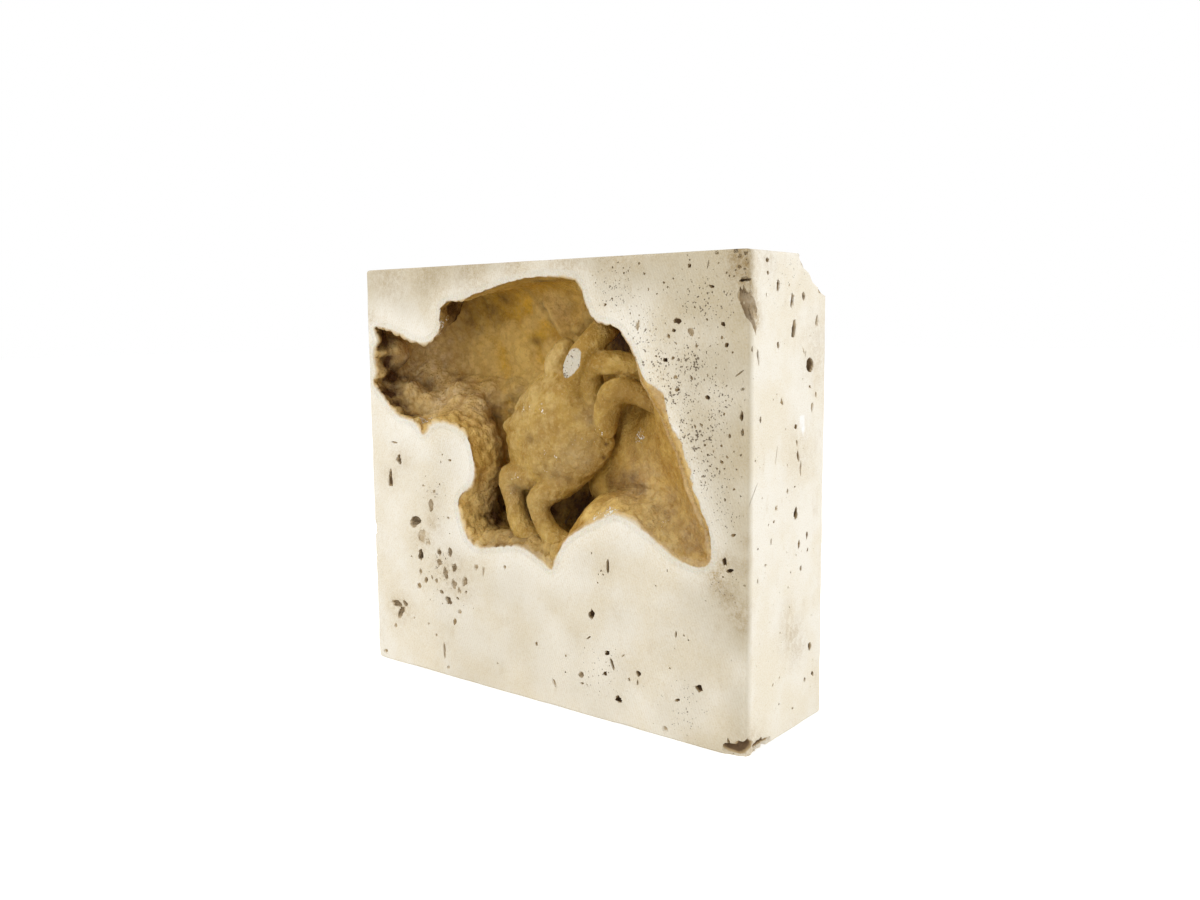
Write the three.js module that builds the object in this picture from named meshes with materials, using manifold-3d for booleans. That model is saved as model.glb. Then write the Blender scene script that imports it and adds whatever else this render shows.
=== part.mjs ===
// A small fossil crab in a hollow of a sawn travertine block.
// Calcite has lined the hollow and coated the crab, and one saw cut made the block's front face.
//
// Millimetres, +Z up, X along the front face, Y into the block.
// The origin is the centre of the block's bottom face, and the front face looks along -Y.

import * as THREE from 'three';
import { mergeVertices } from 'three/addons/utils/BufferGeometryUtils.js';
import Module from 'manifold-3d';

const wasm = await Module();
wasm.setup();

// Driving dimensions
const blockWidth = 110;
const blockDepth = 33;
const blockHeight = 100;
const crustThickness = 1.8;
const jointGap = 0.3;          // between solids that touch in the real piece
const sideWall = 0.8;          // the least stone left beside the hollow
const frontY = -blockDepth / 2;

// Mesh density
const crustSides = 78;
const crustSteps = 12;
const stoneSides = 54;
const stoneSteps = 6;
const shellSides = 32;
const limbSides = 10;
const limbSteps = 12;
const shortestEdge = 0.01;     // shorter ones, left by the cuts, are closed up

// The hollow's mouth in the sawn face, clockwise from its top left corner: [x, z].
const mouth = [
  [-52.4, 85.8], [-45.5, 85.0], [-38.5, 82.6], [-33.0, 82.2], [-29.0, 85.2],
  [-27.6, 90.8], [-19.5, 92.3], [-10.3, 94.6], [-1.5, 96.2], [8.0, 96.4],
  [13.4, 95.4], [16.0, 90.5], [18.2, 87.1], [24.6, 85.0], [28.8, 79.4],
  [30.2, 74.5], [34.6, 68.1], [38.8, 60.5], [42.2, 52.5], [45.8, 45.2],
  [47.0, 39.8], [44.6, 37.6], [38.5, 38.7], [31.5, 42.9], [24.0, 45.9],
  [16.4, 43.1], [9.6, 39.0], [6.6, 34.4], [5.1, 31.7], [2.0, 33.3],
  [-4.2, 35.6], [-11.1, 34.8], [-18.0, 33.8], [-22.2, 37.2], [-23.9, 44.4],
  [-19.4, 48.8], [-18.4, 53.4], [-20.6, 60.0], [-26.0, 62.6], [-31.8, 62.6],
  [-35.6, 59.6], [-38.6, 62.4], [-45.0, 64.0], [-50.0, 68.2], [-53.0, 71.6],
];

// Two closed lines further in, each point below the numbered point of the mouth:
// [mouth point, x, z, depth behind the sawn face].
const wallLine = [
  [0, -51.0, 85.5, 7], [2, -42.0, 86.5, 8], [3, -36.5, 87.0, 8], [4, -33.5, 89.5, 8],
  [5, -31.0, 93.0, 8], [6, -22.0, 94.0, 8], [8, -3.0, 96.2, 8], [9, 8.0, 96.3, 8],
  [10, 15.0, 94.8, 8], [12, 22.0, 89.5, 8], [13, 27.5, 85.5, 8], [14, 29.0, 79.5, 8],
  [15, 27.5, 73.5, 8], [16, 25.5, 67.0, 8], [17, 25.5, 61.0, 8.5], [18, 26.0, 55.5, 9],
  [19, 27.5, 51.5, 9], [20, 30.0, 49.8, 8], [22, 31.0, 47.8, 7], [24, 22.5, 47.0, 7],
  [25, 15.5, 44.5, 7], [26, 10.5, 40.5, 6.5], [28, 3.5, 38.0, 5.5], [30, -4.0, 37.5, 6],
  [32, -17.0, 36.5, 7], [33, -20.5, 39.5, 8], [34, -20.5, 45.0, 8], [36, -18.5, 53.0, 9],
  [37, -20.5, 61.0, 9], [38, -28.0, 66.5, 9], [40, -37.0, 66.5, 9], [42, -45.0, 68.5, 8],
  [44, -51.0, 72.5, 7],
];
const backLine = [
  [0, -47.5, 84.5, 17], [3, -37.0, 88.0, 18], [5, -31.0, 91.5, 18], [8, -5.0, 92.5, 19],
  [10, 12.0, 90.5, 18], [13, 20.0, 83.0, 17], [15, 18.0, 72.0, 17], [17, 11.0, 62.0, 17.5],
  [19, 9.0, 54.0, 18], [22, 10.0, 50.0, 18], [25, 9.0, 45.5, 20], [28, 4.0, 40.0, 21],
  [30, -5.0, 39.0, 21], [32, -17.0, 40.0, 21], [34, -23.0, 46.0, 19], [36, -24.0, 55.0, 18],
  [38, -29.0, 68.0, 17], [41, -40.0, 72.0, 17], [44, -47.5, 76.0, 17],
];
const deepestPoint = [-6.0, 70.0, 22.5];
const mouthLead = 1.6;         // how far the lining once stood proud of the saw cut

// Knobs and drapes of calcite on the lining: [x, z, depth, radius, stretch down].
const nodules = [
  [-53.6, 79.6, 7.0, 4.0, 1.2], [-53.4, 71.0, 9.5, 4.4, 1.2], [-48.6, 75.0, 18.6, 4.6, 1.4],
  [-42.0, 65.6, 11.0, 4.0, 0.8], [-36.0, 65.4, 15.6, 4.2, 0.9], [-30.5, 64.4, 13.0, 4.0, 0.8],
  [-20.8, 57.0, 8.5, 3.2, 1.3], [-20.8, 48.0, 9.5, 3.2, 1.3], [-22.2, 41.0, 8.0, 3.2, 1.4],
  [-3.5, 88.5, 19.6, 3.0, 2.2], [3.5, 89.0, 19.0, 3.0, 2.0], [0.0, 83.0, 21.0, 2.8, 1.4],
  [-14.5, 35.6, 4.5, 2.4, 0.7], [-4.0, 36.0, 3.8, 2.2, 0.8], [9.4, 39.2, 4.6, 2.2, 1.0],
];

// The crab's back shell: its margin as [x, z, depth], and the crown and the underside.
const shellMargin = [
  [2.6, 75.4, 6.2], [-2.0, 74.2, 6.6], [-6.4, 71.6, 7.0], [-9.8, 68.0, 7.2],
  [-15.2, 62.9, 7.5], [-13.6, 60.6, 7.4], [-13.9, 57.8, 7.4], [-12.4, 53.8, 7.4],
  [-6.8, 50.6, 7.2], [0.0, 49.6, 7.4], [6.2, 50.0, 8.0], [10.8, 52.6, 8.2],
  [13.8, 56.2, 8.2], [15.0, 60.4, 8.0], [13.6, 64.6, 7.6], [11.0, 67.8, 7.0],
  [8.6, 71.4, 6.4], [6.2, 74.4, 6.0],
];
const shellCrown = [1.6, 63.5, 2.2];
const shellUnderside = [1.0, 62.0, 13.6];
const shellReach = 14;         // from the crown to the margin
// Rings of the shell: [share of the way out to the margin, 1 above it, 0 on it and -1 below].
const shellRings = [
  [0.42, 1], [0.7, 1], [0.88, 1], [0.98, 1], [1, 0], [0.93, -1], [0.72, -1], [0.4, -1],
];

// Limbs: [x, z, depth, radius] along the middle of each, from the body outwards.
const limbs = {
  claw: [
    [-0.6, 74.0, 8.6, 3.3], [-0.1, 77.0, 8.0, 3.5], [0.9, 79.8, 7.4, 3.3], [2.0, 81.6, 7.0, 2.4],
  ],
  leg_sawn: [
    [8.8, 72.0, 5.0, 2.2], [9.8, 74.6, 3.1, 2.4], [11.4, 78.2, 1.7, 2.7], [13.6, 81.2, 1.8, 2.8],
    [16.6, 83.2, 2.8, 2.9], [19.6, 84.6, 5.0, 3.0], [23.0, 85.8, 8.5, 3.0], [26.0, 86.6, 12.0, 2.8],
  ],
  leg_upper: [
    [11.2, 66.8, 6.6, 2.9], [12.0, 70.0, 5.2, 3.1], [13.2, 73.6, 4.0, 3.2], [15.8, 76.8, 3.6, 3.2],
    [19.4, 77.9, 3.8, 3.1], [23.2, 77.4, 5.0, 3.0], [27.0, 76.4, 7.4, 2.9], [30.5, 75.4, 10.0, 2.7],
  ],
  leg_lower: [
    [18.8, 63.2, 3.6, 2.3], [19.2, 65.4, 3.2, 2.7], [19.8, 68.4, 2.9, 2.7], [21.0, 71.4, 2.9, 2.8],
    [23.6, 72.4, 3.2, 2.8], [27.0, 71.2, 3.8, 2.4], [30.0, 69.4, 5.0, 2.1], [33.0, 67.8, 7.0, 2.0],
  ],
  leg_front: [
    [-5.6, 51.4, 8.4, 3.2], [-9.6, 51.6, 7.6, 3.2], [-13.0, 51.0, 7.0, 2.9], [-13.2, 47.8, 6.5, 2.8],
    [-12.0, 44.6, 6.0, 2.8], [-10.6, 41.2, 5.4, 2.8], [-9.4, 38.2, 5.0, 3.1], [-9.0, 35.0, 4.8, 3.2],
  ],
  leg_rear: [
    [8.4, 51.4, 8.8, 3.8], [4.8, 49.6, 7.2, 3.8], [0.6, 48.2, 5.4, 3.5], [-2.6, 46.2, 4.2, 2.9],
    [-1.4, 43.4, 3.8, 2.6], [0.6, 40.6, 3.5, 2.6], [2.6, 37.6, 3.2, 3.2], [3.8, 34.6, 3.2, 2.8],
  ],
};

// Pits in the sawn face: [x, z, width, height, depth].
const frontPits = [
  [16.4, 23.6, 1.8, 1.8, 2.0], [44.1, 12.3, 2.2, 1.8, 1.8], [20.6, 14.8, 1.6, 2.2, 1.5],
  [22.6, 12.6, 1.6, 3.0, 1.5], [19.9, 10.7, 1.6, 1.6, 1.2], [29.0, 12.4, 1.4, 1.8, 1.2],
  [23.7, 5.5, 3.0, 1.6, 1.6], [39.2, 8.3, 2.2, 1.4, 1.2], [21.0, 34.8, 1.0, 3.2, 1.5],
  [50.9, 39.0, 2.0, 2.6, 2.0], [18.0, 98.2, 2.0, 1.4, 1.4], [39.0, 86.6, 1.8, 1.4, 1.2],
  [38.0, 84.8, 1.4, 1.8, 1.2], [47.1, 93.2, 1.6, 1.0, 1.0], [36.4, 78.9, 1.0, 1.0, 1.0],
  [29.7, 85.6, 1.4, 3.2, 1.2], [49.4, 85.9, 1.2, 1.6, 1.0], [54.0, 68.2, 0.8, 2.6, 1.4],
  [-39.5, 36.8, 6.0, 5.0, 3.2], [-37.7, 29.6, 3.0, 4.0, 3.0], [-30.6, 30.6, 3.4, 3.6, 2.6],
  [-28.8, 27.2, 3.0, 3.6, 2.4], [-32.2, 25.0, 2.6, 3.0, 2.2], [-27.6, 22.2, 3.4, 3.6, 2.4],
  [-24.6, 24.0, 2.4, 3.0, 2.0], [-28.4, 18.8, 2.2, 2.6, 1.8], [-44.7, 53.0, 2.2, 3.0, 2.2],
  [-48.0, 47.2, 1.8, 5.6, 2.2], [-46.8, 14.8, 4.6, 3.4, 2.6], [-30.8, 4.4, 1.2, 4.4, 1.6],
  [-33.2, 42.6, 2.2, 4.0, 2.0],
];

// Pits in the right side: [y, z, width, height, depth].
const sidePits = [
  [-13.2, 89.0, 4.2, 8.6, 2.4], [-15.4, 97.6, 3.2, 2.6, 1.8], [-9.0, 98.0, 1.8, 1.6, 1.4],
  [-8.9, 95.7, 1.4, 1.6, 1.2], [-4.7, 93.3, 2.0, 2.8, 1.4], [1.3, 90.4, 2.2, 3.8, 2.0],
  [1.7, 84.6, 2.8, 5.4, 2.6], [-4.4, 81.9, 1.4, 1.6, 1.4], [9.2, 77.0, 3.8, 3.6, 2.4],
  [-12.2, 79.1, 1.2, 4.0, 1.2], [-11.1, 67.3, 1.2, 1.6, 1.0], [6.8, 65.0, 2.6, 3.6, 1.0],
  [4.6, 59.8, 1.4, 5.0, 1.0], [5.6, 39.7, 1.4, 1.6, 1.0], [6.6, 34.5, 1.4, 1.4, 1.0],
];

// Broken corners and worn edges: lumps taken out as [centre, half sizes, turn about Z].
const chips = [
  [[57.4, frontY - 1.6, -0.6], [8.2, 5.2, 4.6], 0.5],
  [[57.2, frontY + 5.4, -1.2], [4.2, 5.6, 4.0], 0.2],
  [[57.0, frontY - 2.4, 14.0], [3.4, 3.0, 14.0], 0.0],
  [[56.6, 10.6, 101.4], [4.4, 5.6, 4.0], 0.3],
  [[57.2, 16.0, 97.8], [5.2, 5.0, 7.8], 0.1],
  [[-56.6, frontY - 1.0, 32.0], [2.6, 2.4, 3.4], 0.4],
];

// A point given by its place across the sawn face and its depth behind it.
function inBlock(x, z, depth) {
  return new THREE.Vector3(x, frontY + depth, z);
}

// A closed solid from a mesh geometry.
function solidFrom(geometry) {
  const bare = new THREE.BufferGeometry();
  bare.setAttribute('position', geometry.getAttribute('position'));
  bare.setIndex(geometry.getIndex());
  const merged = mergeVertices(bare, 1e-5);
  const solid = new wasm.Manifold(new wasm.Mesh({
    numProp: 3,
    vertProperties: new Float32Array(merged.getAttribute('position').array),
    triVerts: new Uint32Array(merged.getIndex().array),
  }));
  return solid;
}

// A mesh geometry from a solid.
function geometryFrom(solid) {
  const { vertProperties, triVerts } = solid.getMesh();
  const geometry = new THREE.BufferGeometry();
  geometry.setAttribute('position', new THREE.BufferAttribute(vertProperties, 3));
  geometry.setIndex(new THREE.BufferAttribute(triVerts, 1));
  return geometry;
}

// A skin over equal rings of points. Each end closes on a point, or flat if it has none.
function skin(rings, firstPoint, lastPoint) {
  const sides = rings[0].length;
  const points = rings.flat();
  const faces = [];
  for (let row = 0; row + 1 < rings.length; row += 1) {
    for (let side = 0; side < sides; side += 1) {
      const next = (side + 1) % sides;
      const a = row * sides + side;
      const b = row * sides + next;
      faces.push(a, b, b + sides, a, b + sides, a + sides);
    }
  }
  const lastRow = (rings.length - 1) * sides;
  if (firstPoint) {
    points.push(firstPoint);
    for (let side = 0; side < sides; side += 1) {
      faces.push(points.length - 1, (side + 1) % sides, side);
    }
  } else {
    const outline = rings[0].map((point) => new THREE.Vector2(point.x, point.z));
    const { area } = THREE.ShapeUtils;
    for (const [a, b, c] of THREE.ShapeUtils.triangulateShape(outline, [])) {
      const sameWay = area([outline[a], outline[b], outline[c]]) * area(outline) > 0;
      faces.push(...(sameWay ? [c, b, a] : [a, b, c]));
    }
  }
  points.push(lastPoint);
  for (let side = 0; side < sides; side += 1) {
    faces.push(points.length - 1, lastRow + side, lastRow + (side + 1) % sides);
  }
  const geometry = new THREE.BufferGeometry().setFromPoints(points);
  geometry.setIndex(faces);
  return geometry;
}

// A closed smooth line through points that hang from numbered points of the mouth.
function lineBelowMouth(rows) {
  const curve = new THREE.CatmullRomCurve3(
    rows.map(([, x, z, depth]) => inBlock(x, z, depth)), true, 'catmullrom', 0.5,
  );
  return (station) => {
    let row = rows.length - 1;
    while (row > 0 && rows[row][0] > station) {
      row -= 1;
    }
    const nextStation = row + 1 < rows.length ? rows[row + 1][0] : mouth.length;
    const between = (station - rows[row][0]) / (nextStation - rows[row][0]);
    return curve.getPoint((row + between) / rows.length);
  };
}

// Broad swellings of the lining, in millimetres.
function swelling(point) {
  const broad = Math.sin(0.42 * point.x + 1.3) * Math.sin(0.47 * point.z + 0.4);
  const fine = Math.sin(0.95 * point.x + 0.3 * point.y) * Math.sin(0.9 * point.z - 0.5 * point.y);
  return 0.35 * broad + 0.3 * fine;
}

// The hollow as a solid, let out by the given amount all over.
function makeHollow(sides, steps, letOut) {
  const mouthLine = lineBelowMouth(mouth.map(([x, z], station) => [station, x, z, 0]));
  const wall = lineBelowMouth(wallLine);
  const back = lineBelowMouth(backLine);
  const deepest = inBlock(...deepestPoint);
  const rings = [[]];
  for (let step = 0; step < steps; step += 1) {
    rings.push([]);
  }
  for (let side = 0; side < sides; side += 1) {
    const station = (side / sides) * mouth.length;
    const rim = mouthLine(station);
    rings[0].push(new THREE.Vector3(rim.x, frontY - mouthLead, rim.z));
    const run = new THREE.CatmullRomCurve3(
      [rim, wall(station), back(station), deepest], false, 'catmullrom', 0.5,
    );
    for (let step = 0; step < steps; step += 1) {
      rings[step + 1].push(run.getPoint(step / steps));
    }
  }
  const geometry = skin(rings, null, deepest.clone());
  geometry.computeVertexNormals();
  const outward = signedVolume(geometry) > 0 ? 1 : -1;
  const place = geometry.getAttribute('position');
  const normal = geometry.getAttribute('normal');
  for (let index = 0; index < place.count; index += 1) {
    const point = new THREE.Vector3().fromBufferAttribute(place, index);
    const direction = new THREE.Vector3().fromBufferAttribute(normal, index);
    direction.multiplyScalar(outward);
    if (point.y < frontY + 0.01) {
      direction.y = 0;
      direction.normalize();
    }
    const inFront = point.y < frontY;
    point.addScaledVector(direction, letOut + (inFront ? 0 : swelling(point)));
    point.y = inFront ? frontY - mouthLead : point.y;
    point.x = Math.max(point.x, -blockWidth / 2 + sideWall + crustThickness - letOut);
    place.setXYZ(index, point.x, point.y, point.z);
  }
  return solidFrom(facingOut(geometry));
}

// Six times the volume that the faces enclose, negative if they face in.
function signedVolume(geometry) {
  const place = geometry.getAttribute('position');
  const index = geometry.getIndex().array;
  const corner = [new THREE.Vector3(), new THREE.Vector3(), new THREE.Vector3()];
  let volume = 0;
  for (let face = 0; face < index.length; face += 3) {
    corner.forEach((point, at) => point.fromBufferAttribute(place, index[face + at]));
    volume += corner[0].dot(corner[1].cross(corner[2]));
  }
  return volume;
}

// The same geometry with its faces turned to face out.
function facingOut(geometry) {
  if (signedVolume(geometry) < 0) {
    const index = geometry.getIndex().array;
    for (let face = 0; face < index.length; face += 3) {
      [index[face], index[face + 1]] = [index[face + 1], index[face]];
    }
  }
  return geometry;
}

// A rounded lump with half sizes along X, Y and Z.
function makeLump(centre, halfSizes, detail, turn = 0) {
  const geometry = new THREE.IcosahedronGeometry(1, detail);
  geometry.scale(...halfSizes);
  geometry.rotateZ(turn);
  geometry.translate(...centre);
  geometry.deleteAttribute('normal');
  geometry.deleteAttribute('uv');
  return solidFrom(mergeVertices(geometry, 1e-5));
}

// A limb of round section along a smooth middle line, its ends rounded off.
function makeLimb(points, letOut) {
  const middle = new THREE.CatmullRomCurve3(
    points.map(([x, z, depth]) => inBlock(x, z, depth)), false, 'catmullrom', 0.5,
  );
  const radii = new THREE.SplineCurve(
    points.map(([, , , radius], at) => new THREE.Vector2(at, radius)),
  );
  const frames = middle.computeFrenetFrames(limbSteps, false);
  const rings = [];
  for (let step = 0; step <= limbSteps; step += 1) {
    const along = step / limbSteps;
    const centre = middle.getPointAt(along);
    const radius = radii.getPoint(middle.getUtoTmapping(along)).y + letOut;
    const ring = [];
    for (let side = 0; side < limbSides; side += 1) {
      const angle = (side / limbSides) * 2 * Math.PI;
      ring.push(centre.clone()
        .addScaledVector(frames.normals[step], radius * Math.cos(angle))
        .addScaledVector(frames.binormals[step], radius * Math.sin(angle)));
    }
    rings.push(ring);
  }
  const ends = [0, limbSteps].map((step) => {
    const outwards = step === 0 ? -1 : 1;
    const radius = points[step === 0 ? 0 : points.length - 1][3] + letOut;
    return middle.getPointAt(step / limbSteps)
      .addScaledVector(frames.tangents[step], outwards * radius * 0.6);
  });
  return solidFrom(facingOut(skin(rings, ends[0], ends[1])));
}

// The back shell: a dome over its margin in front, and a shallower bowl behind it.
function makeShell(letOut) {
  const margin = new THREE.CatmullRomCurve3(
    shellMargin.map(([x, z, depth]) => inBlock(x, z, depth)), true, 'catmullrom', 0.5,
  );
  const crown = inBlock(...shellCrown);
  const underside = inBlock(...shellUnderside);
  const grow = (shellReach + letOut) / shellReach;
  const rings = [];
  for (const [share, face] of shellRings) {
    const ring = [];
    for (let side = 0; side < shellSides; side += 1) {
      const edge = margin.getPoint(side / shellSides);
      const pole = face < 0 ? underside : crown;
      const rise = face === 0 ? 0 : Math.pow(1 - share * share, face > 0 ? 0.8 : 0.5);
      ring.push(new THREE.Vector3(
        pole.x + (edge.x - pole.x) * share * grow,
        edge.y + (pole.y + (face < 0 ? letOut : -letOut) - edge.y) * rise,
        pole.z + (edge.z - pole.z) * share * grow,
      ));
    }
    rings.push(ring);
  }
  const crownTip = crown.clone();
  crownTip.y -= letOut;
  const undersideTip = underside.clone();
  undersideTip.y += letOut;
  return solidFrom(facingOut(skin(rings, crownTip, undersideTip)));
}

// Everything behind the saw cut.
function behindTheCut() {
  const size = 3 * blockWidth;
  const geometry = new THREE.BoxGeometry(size, size, size);
  geometry.translate(0, frontY + size / 2, 0);
  return solidFrom(geometry);
}

function makeStone(hollow, limbRoom) {
  const geometry = new THREE.BoxGeometry(blockWidth, blockDepth, blockHeight);
  geometry.translate(0, 0, blockHeight / 2);
  let stone = solidFrom(geometry).subtract(hollow);
  for (const room of limbRoom) {
    stone = stone.subtract(room);
  }
  for (const [x, z, width, height, depth] of frontPits) {
    const detail = Math.max(width, height) > 2.5 ? 1 : 0;
    stone = stone.subtract(makeLump([x, frontY, z], [width / 2, depth, height / 2], detail));
  }
  for (const [y, z, width, height, depth] of sidePits) {
    const detail = Math.max(width, height) > 3 ? 1 : 0;
    stone = stone.subtract(makeLump([blockWidth / 2, y, z], [depth, width / 2, height / 2], detail));
  }
  for (const [centre, halfSizes, turn] of chips) {
    stone = stone.subtract(makeLump(centre, halfSizes, 1, turn));
  }
  return stone;
}

function makeCrust(inside, outside, crabRoom) {
  let crust = outside.subtract(inside);
  for (const [x, z, depth, radius, stretch] of nodules) {
    crust = crust.add(makeLump([x, frontY + depth, z], [radius, radius, radius * stretch], 1));
  }
  crust = crust.intersect(outside);
  for (const room of crabRoom) {
    crust = crust.subtract(room);
  }
  return crust.intersect(behindTheCut());
}

// The largest of the pieces that a cut leaves, so that no loose crumb stays beside it.
function mainPiece(solid) {
  const pieces = solid.asOriginal().simplify(shortestEdge).decompose();
  pieces.sort((one, other) => other.volume() - one.volume());
  return pieces[0];
}

const finishes = {
  travertine_block: { color: 0xe9e1cf, roughness: 0.85, metalness: 0 },
  calcite_crust: { color: 0xb98f4e, roughness: 0.5, metalness: 0 },
  crab: { color: 0xc09a58, roughness: 0.42, metalness: 0 },
};

function makePiece(name, solid, finish) {
  const material = new THREE.MeshStandardMaterial(finishes[finish]);
  const mesh = new THREE.Mesh(geometryFrom(mainPiece(solid)), material);
  mesh.name = name;
  return mesh;
}

const group = new THREE.Group();
const cut = behindTheCut();
const shellRoom = makeShell(jointGap);
const limbRoom = Object.values(limbs).map((points) => makeLimb(points, jointGap));

const crustInside = makeHollow(crustSides, crustSteps, 0);
const crustOutside = makeHollow(stoneSides, stoneSteps, crustThickness);
const stoneInside = makeHollow(stoneSides, stoneSteps, crustThickness + jointGap).add(crustOutside);
const crust = makeCrust(crustInside, crustOutside, [shellRoom, ...limbRoom]);
group.add(makePiece('travertine_block', makeStone(stoneInside, limbRoom), 'travertine_block'));
group.add(makePiece('calcite_crust', crust, 'calcite_crust'));
group.add(makePiece('crab_carapace', makeShell(0).intersect(cut), 'crab'));

Object.entries(limbs).forEach(([name, points], order) => {
  let limb = makeLimb(points, 0).intersect(cut).subtract(shellRoom);
  for (const earlier of limbRoom.slice(0, order)) {
    limb = limb.subtract(earlier);
  }
  group.add(makePiece(`crab_${name}`, limb, 'crab'));
});

export default group;
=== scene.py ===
import bmesh
import bpy
import numpy as np
from mathutils import Matrix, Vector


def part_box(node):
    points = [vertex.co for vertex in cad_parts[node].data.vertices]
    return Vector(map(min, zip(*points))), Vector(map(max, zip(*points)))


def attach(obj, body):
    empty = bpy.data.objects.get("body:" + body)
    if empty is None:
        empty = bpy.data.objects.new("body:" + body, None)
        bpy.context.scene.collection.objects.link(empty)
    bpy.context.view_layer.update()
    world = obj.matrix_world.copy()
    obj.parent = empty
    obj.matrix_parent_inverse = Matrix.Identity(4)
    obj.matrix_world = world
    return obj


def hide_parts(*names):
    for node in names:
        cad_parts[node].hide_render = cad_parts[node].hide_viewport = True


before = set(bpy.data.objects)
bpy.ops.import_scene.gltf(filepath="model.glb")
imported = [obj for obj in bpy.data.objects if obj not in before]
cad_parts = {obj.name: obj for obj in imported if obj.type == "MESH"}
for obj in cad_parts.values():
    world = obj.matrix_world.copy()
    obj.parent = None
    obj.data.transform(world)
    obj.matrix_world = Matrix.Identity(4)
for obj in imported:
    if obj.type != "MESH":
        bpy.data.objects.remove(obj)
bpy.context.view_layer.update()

# The script works in millimetres, in the frame's own axes, and writes its meshes in metres.
mm = 0.001
blockLow, blockHigh = [np.array(corner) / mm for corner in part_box("travertine_block")]
frontY = blockLow[1]    # the sawn front face
sawnGap = 0.02          # the crust and the crab end this far behind it
blockMiddle = (blockLow + blockHigh) / 2
blockHalf = (blockHigh - blockLow) / 2
print("frame loaded")


# Helpers that work on whole arrays of points.

def smoothStep(low, high, value):
    # 0 below low, 1 above high, and 3t^2 - 2t^3 between them
    t = np.clip((value - low) / (high - low), 0, 1)
    return t * t * (3 - 2 * t)


def scatter(cell, seed):
    # a random number from 0 to 1 for each lattice cell: its indices times odd numbers, mixed by shifts
    mixed = (cell @ np.array([374761393, 668265263, 1103515245]) + seed * 974634777) & 0xffffffff
    mixed = ((mixed ^ (mixed >> 13)) * 1274126177) & 0xffffffff
    mixed = ((mixed ^ (mixed >> 16)) * 1911520717) & 0xffffffff
    return ((mixed ^ (mixed >> 15)) & 0xffffff) / 0xffffff


def softNoise(place, size, seed):
    # random values on a lattice, blended between its corners by smoothed distance: -1 to 1
    scaled = place / size
    cell = np.floor(scaled).astype(np.int64)
    t = scaled - cell
    t = t * t * (3 - 2 * t)
    total = np.zeros(place.shape[:-1])
    for corner in np.ndindex(2, 2, 2):
        weight = np.prod(np.where(corner, t, 1 - t), axis=-1)
        total += weight * scatter(cell + np.array(corner), seed)
    return 2 * total - 1


def bubbles(place, size, seed):
    # the nearest of one random point in each lattice cell stands as a sphere: sqrt(1 - distance^2 / 0.72)
    scaled = place / size
    cell = np.floor(scaled).astype(np.int64)
    nearest = np.full(place.shape[:-1], 9.0)
    for step in np.ndindex(3, 3, 3):
        beside = cell + np.array(step) - 1
        shift = np.stack([scatter(beside, seed + 17 * axis) for axis in range(3)], axis=-1)
        nearest = np.minimum(nearest, ((scaled - beside - 0.1 - 0.8 * shift) ** 2).sum(axis=-1))
    return np.sqrt(np.clip(1 - nearest / 0.72, 0, 1))


def throughPoints(points, at, closed):
    # cubic pieces through the points, each slope half the chord between a point's two neighbours
    points = np.asarray(points, dtype=float)
    last = len(points) - 1
    cell = np.floor(at).astype(int)
    if closed:
        near = [points[(cell + step) % len(points)] for step in (-1, 0, 1, 2)]
    else:
        cell = np.clip(cell, 0, last - 1)
        ends = np.vstack([2 * points[0] - points[1], points, 2 * points[-1] - points[-2]])
        near = [ends[cell + step + 1] for step in (-1, 0, 1, 2)]
    return cubicBetween(*near, (at - cell)[..., None])


def cubicBetween(a, b, c, d, t):
    # from b to c, leaving b along c - a and reaching c along d - b
    return b + 0.5 * t * ((c - a) + t * ((2 * a - 5 * b + 4 * c - d) + t * (3 * (b - c) + d - a)))


def inBlock(rows):
    # [x, z, depth behind the sawn face] to [x, y, z]
    rows = np.asarray(rows, dtype=float)
    return np.stack([rows[..., 0], frontY + rows[..., 2], rows[..., 1]], axis=-1)


def unit(vectors):
    # each vector divided by its length
    return vectors / np.maximum(np.linalg.norm(vectors, axis=-1, keepdims=True), 1e-9)


def gridNormals(rows):
    # the cross product of the differences along and across the rings
    across = np.roll(rows, -1, axis=1) - np.roll(rows, 1, axis=1)
    return unit(np.cross(np.gradient(rows, axis=0), across))


def addObject(name, data):
    # a new object in the scene, at the origin
    made = bpy.data.objects.new(name, data)
    bpy.context.scene.collection.objects.link(made)
    return made


def meshObject(name, points, faces):
    # points in millimetres and faces as rows of point numbers, made a mesh in metres
    mesh = bpy.data.meshes.new(name)
    mesh.from_pydata((np.asarray(points) * mm).tolist(), [], faces)
    mesh.update()
    return addObject(name, mesh)


def wrapGrid(name, rows, firstPole, lastPole):
    # a closed skin: each ring of points joined to the next, and each end fanned to its pole
    count, around = rows.shape[:2]
    here = np.arange(count * around).reshape(count, around)
    beside = np.roll(here, -1, axis=1)
    quads = np.stack([here[:-1], beside[:-1], beside[1:], here[1:]], axis=-1).reshape(-1, 4)
    first = np.full(around, count * around)
    fans = np.vstack([
        np.stack([first, beside[0], here[0]], axis=-1),
        np.stack([first + 1, here[-1], beside[-1]], axis=-1),
    ])
    points = np.vstack([rows.reshape(-1, 3), firstPole, lastPole])
    corners = np.vstack([quads[:, :3], quads[:, [0, 2, 3]], fans])
    a, b, c = [points[corners[:, k]] for k in range(3)]
    piece = meshObject(name, points, quads.tolist() + fans.tolist())
    if (a * np.cross(b, c)).sum() < 0:
        piece.data.flip_normals()
    return piece


def pointsOf(piece):
    # the mesh's points in millimetres, one row each
    flat = np.empty(3 * len(piece.data.vertices))
    piece.data.vertices.foreach_get("co", flat)
    return flat.reshape(-1, 3) / mm


def normalsOf(piece):
    # the direction outwards at each point
    flat = np.empty(3 * len(piece.data.vertices))
    piece.data.vertex_normals.foreach_get("vector", flat)
    return flat.reshape(-1, 3)


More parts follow.
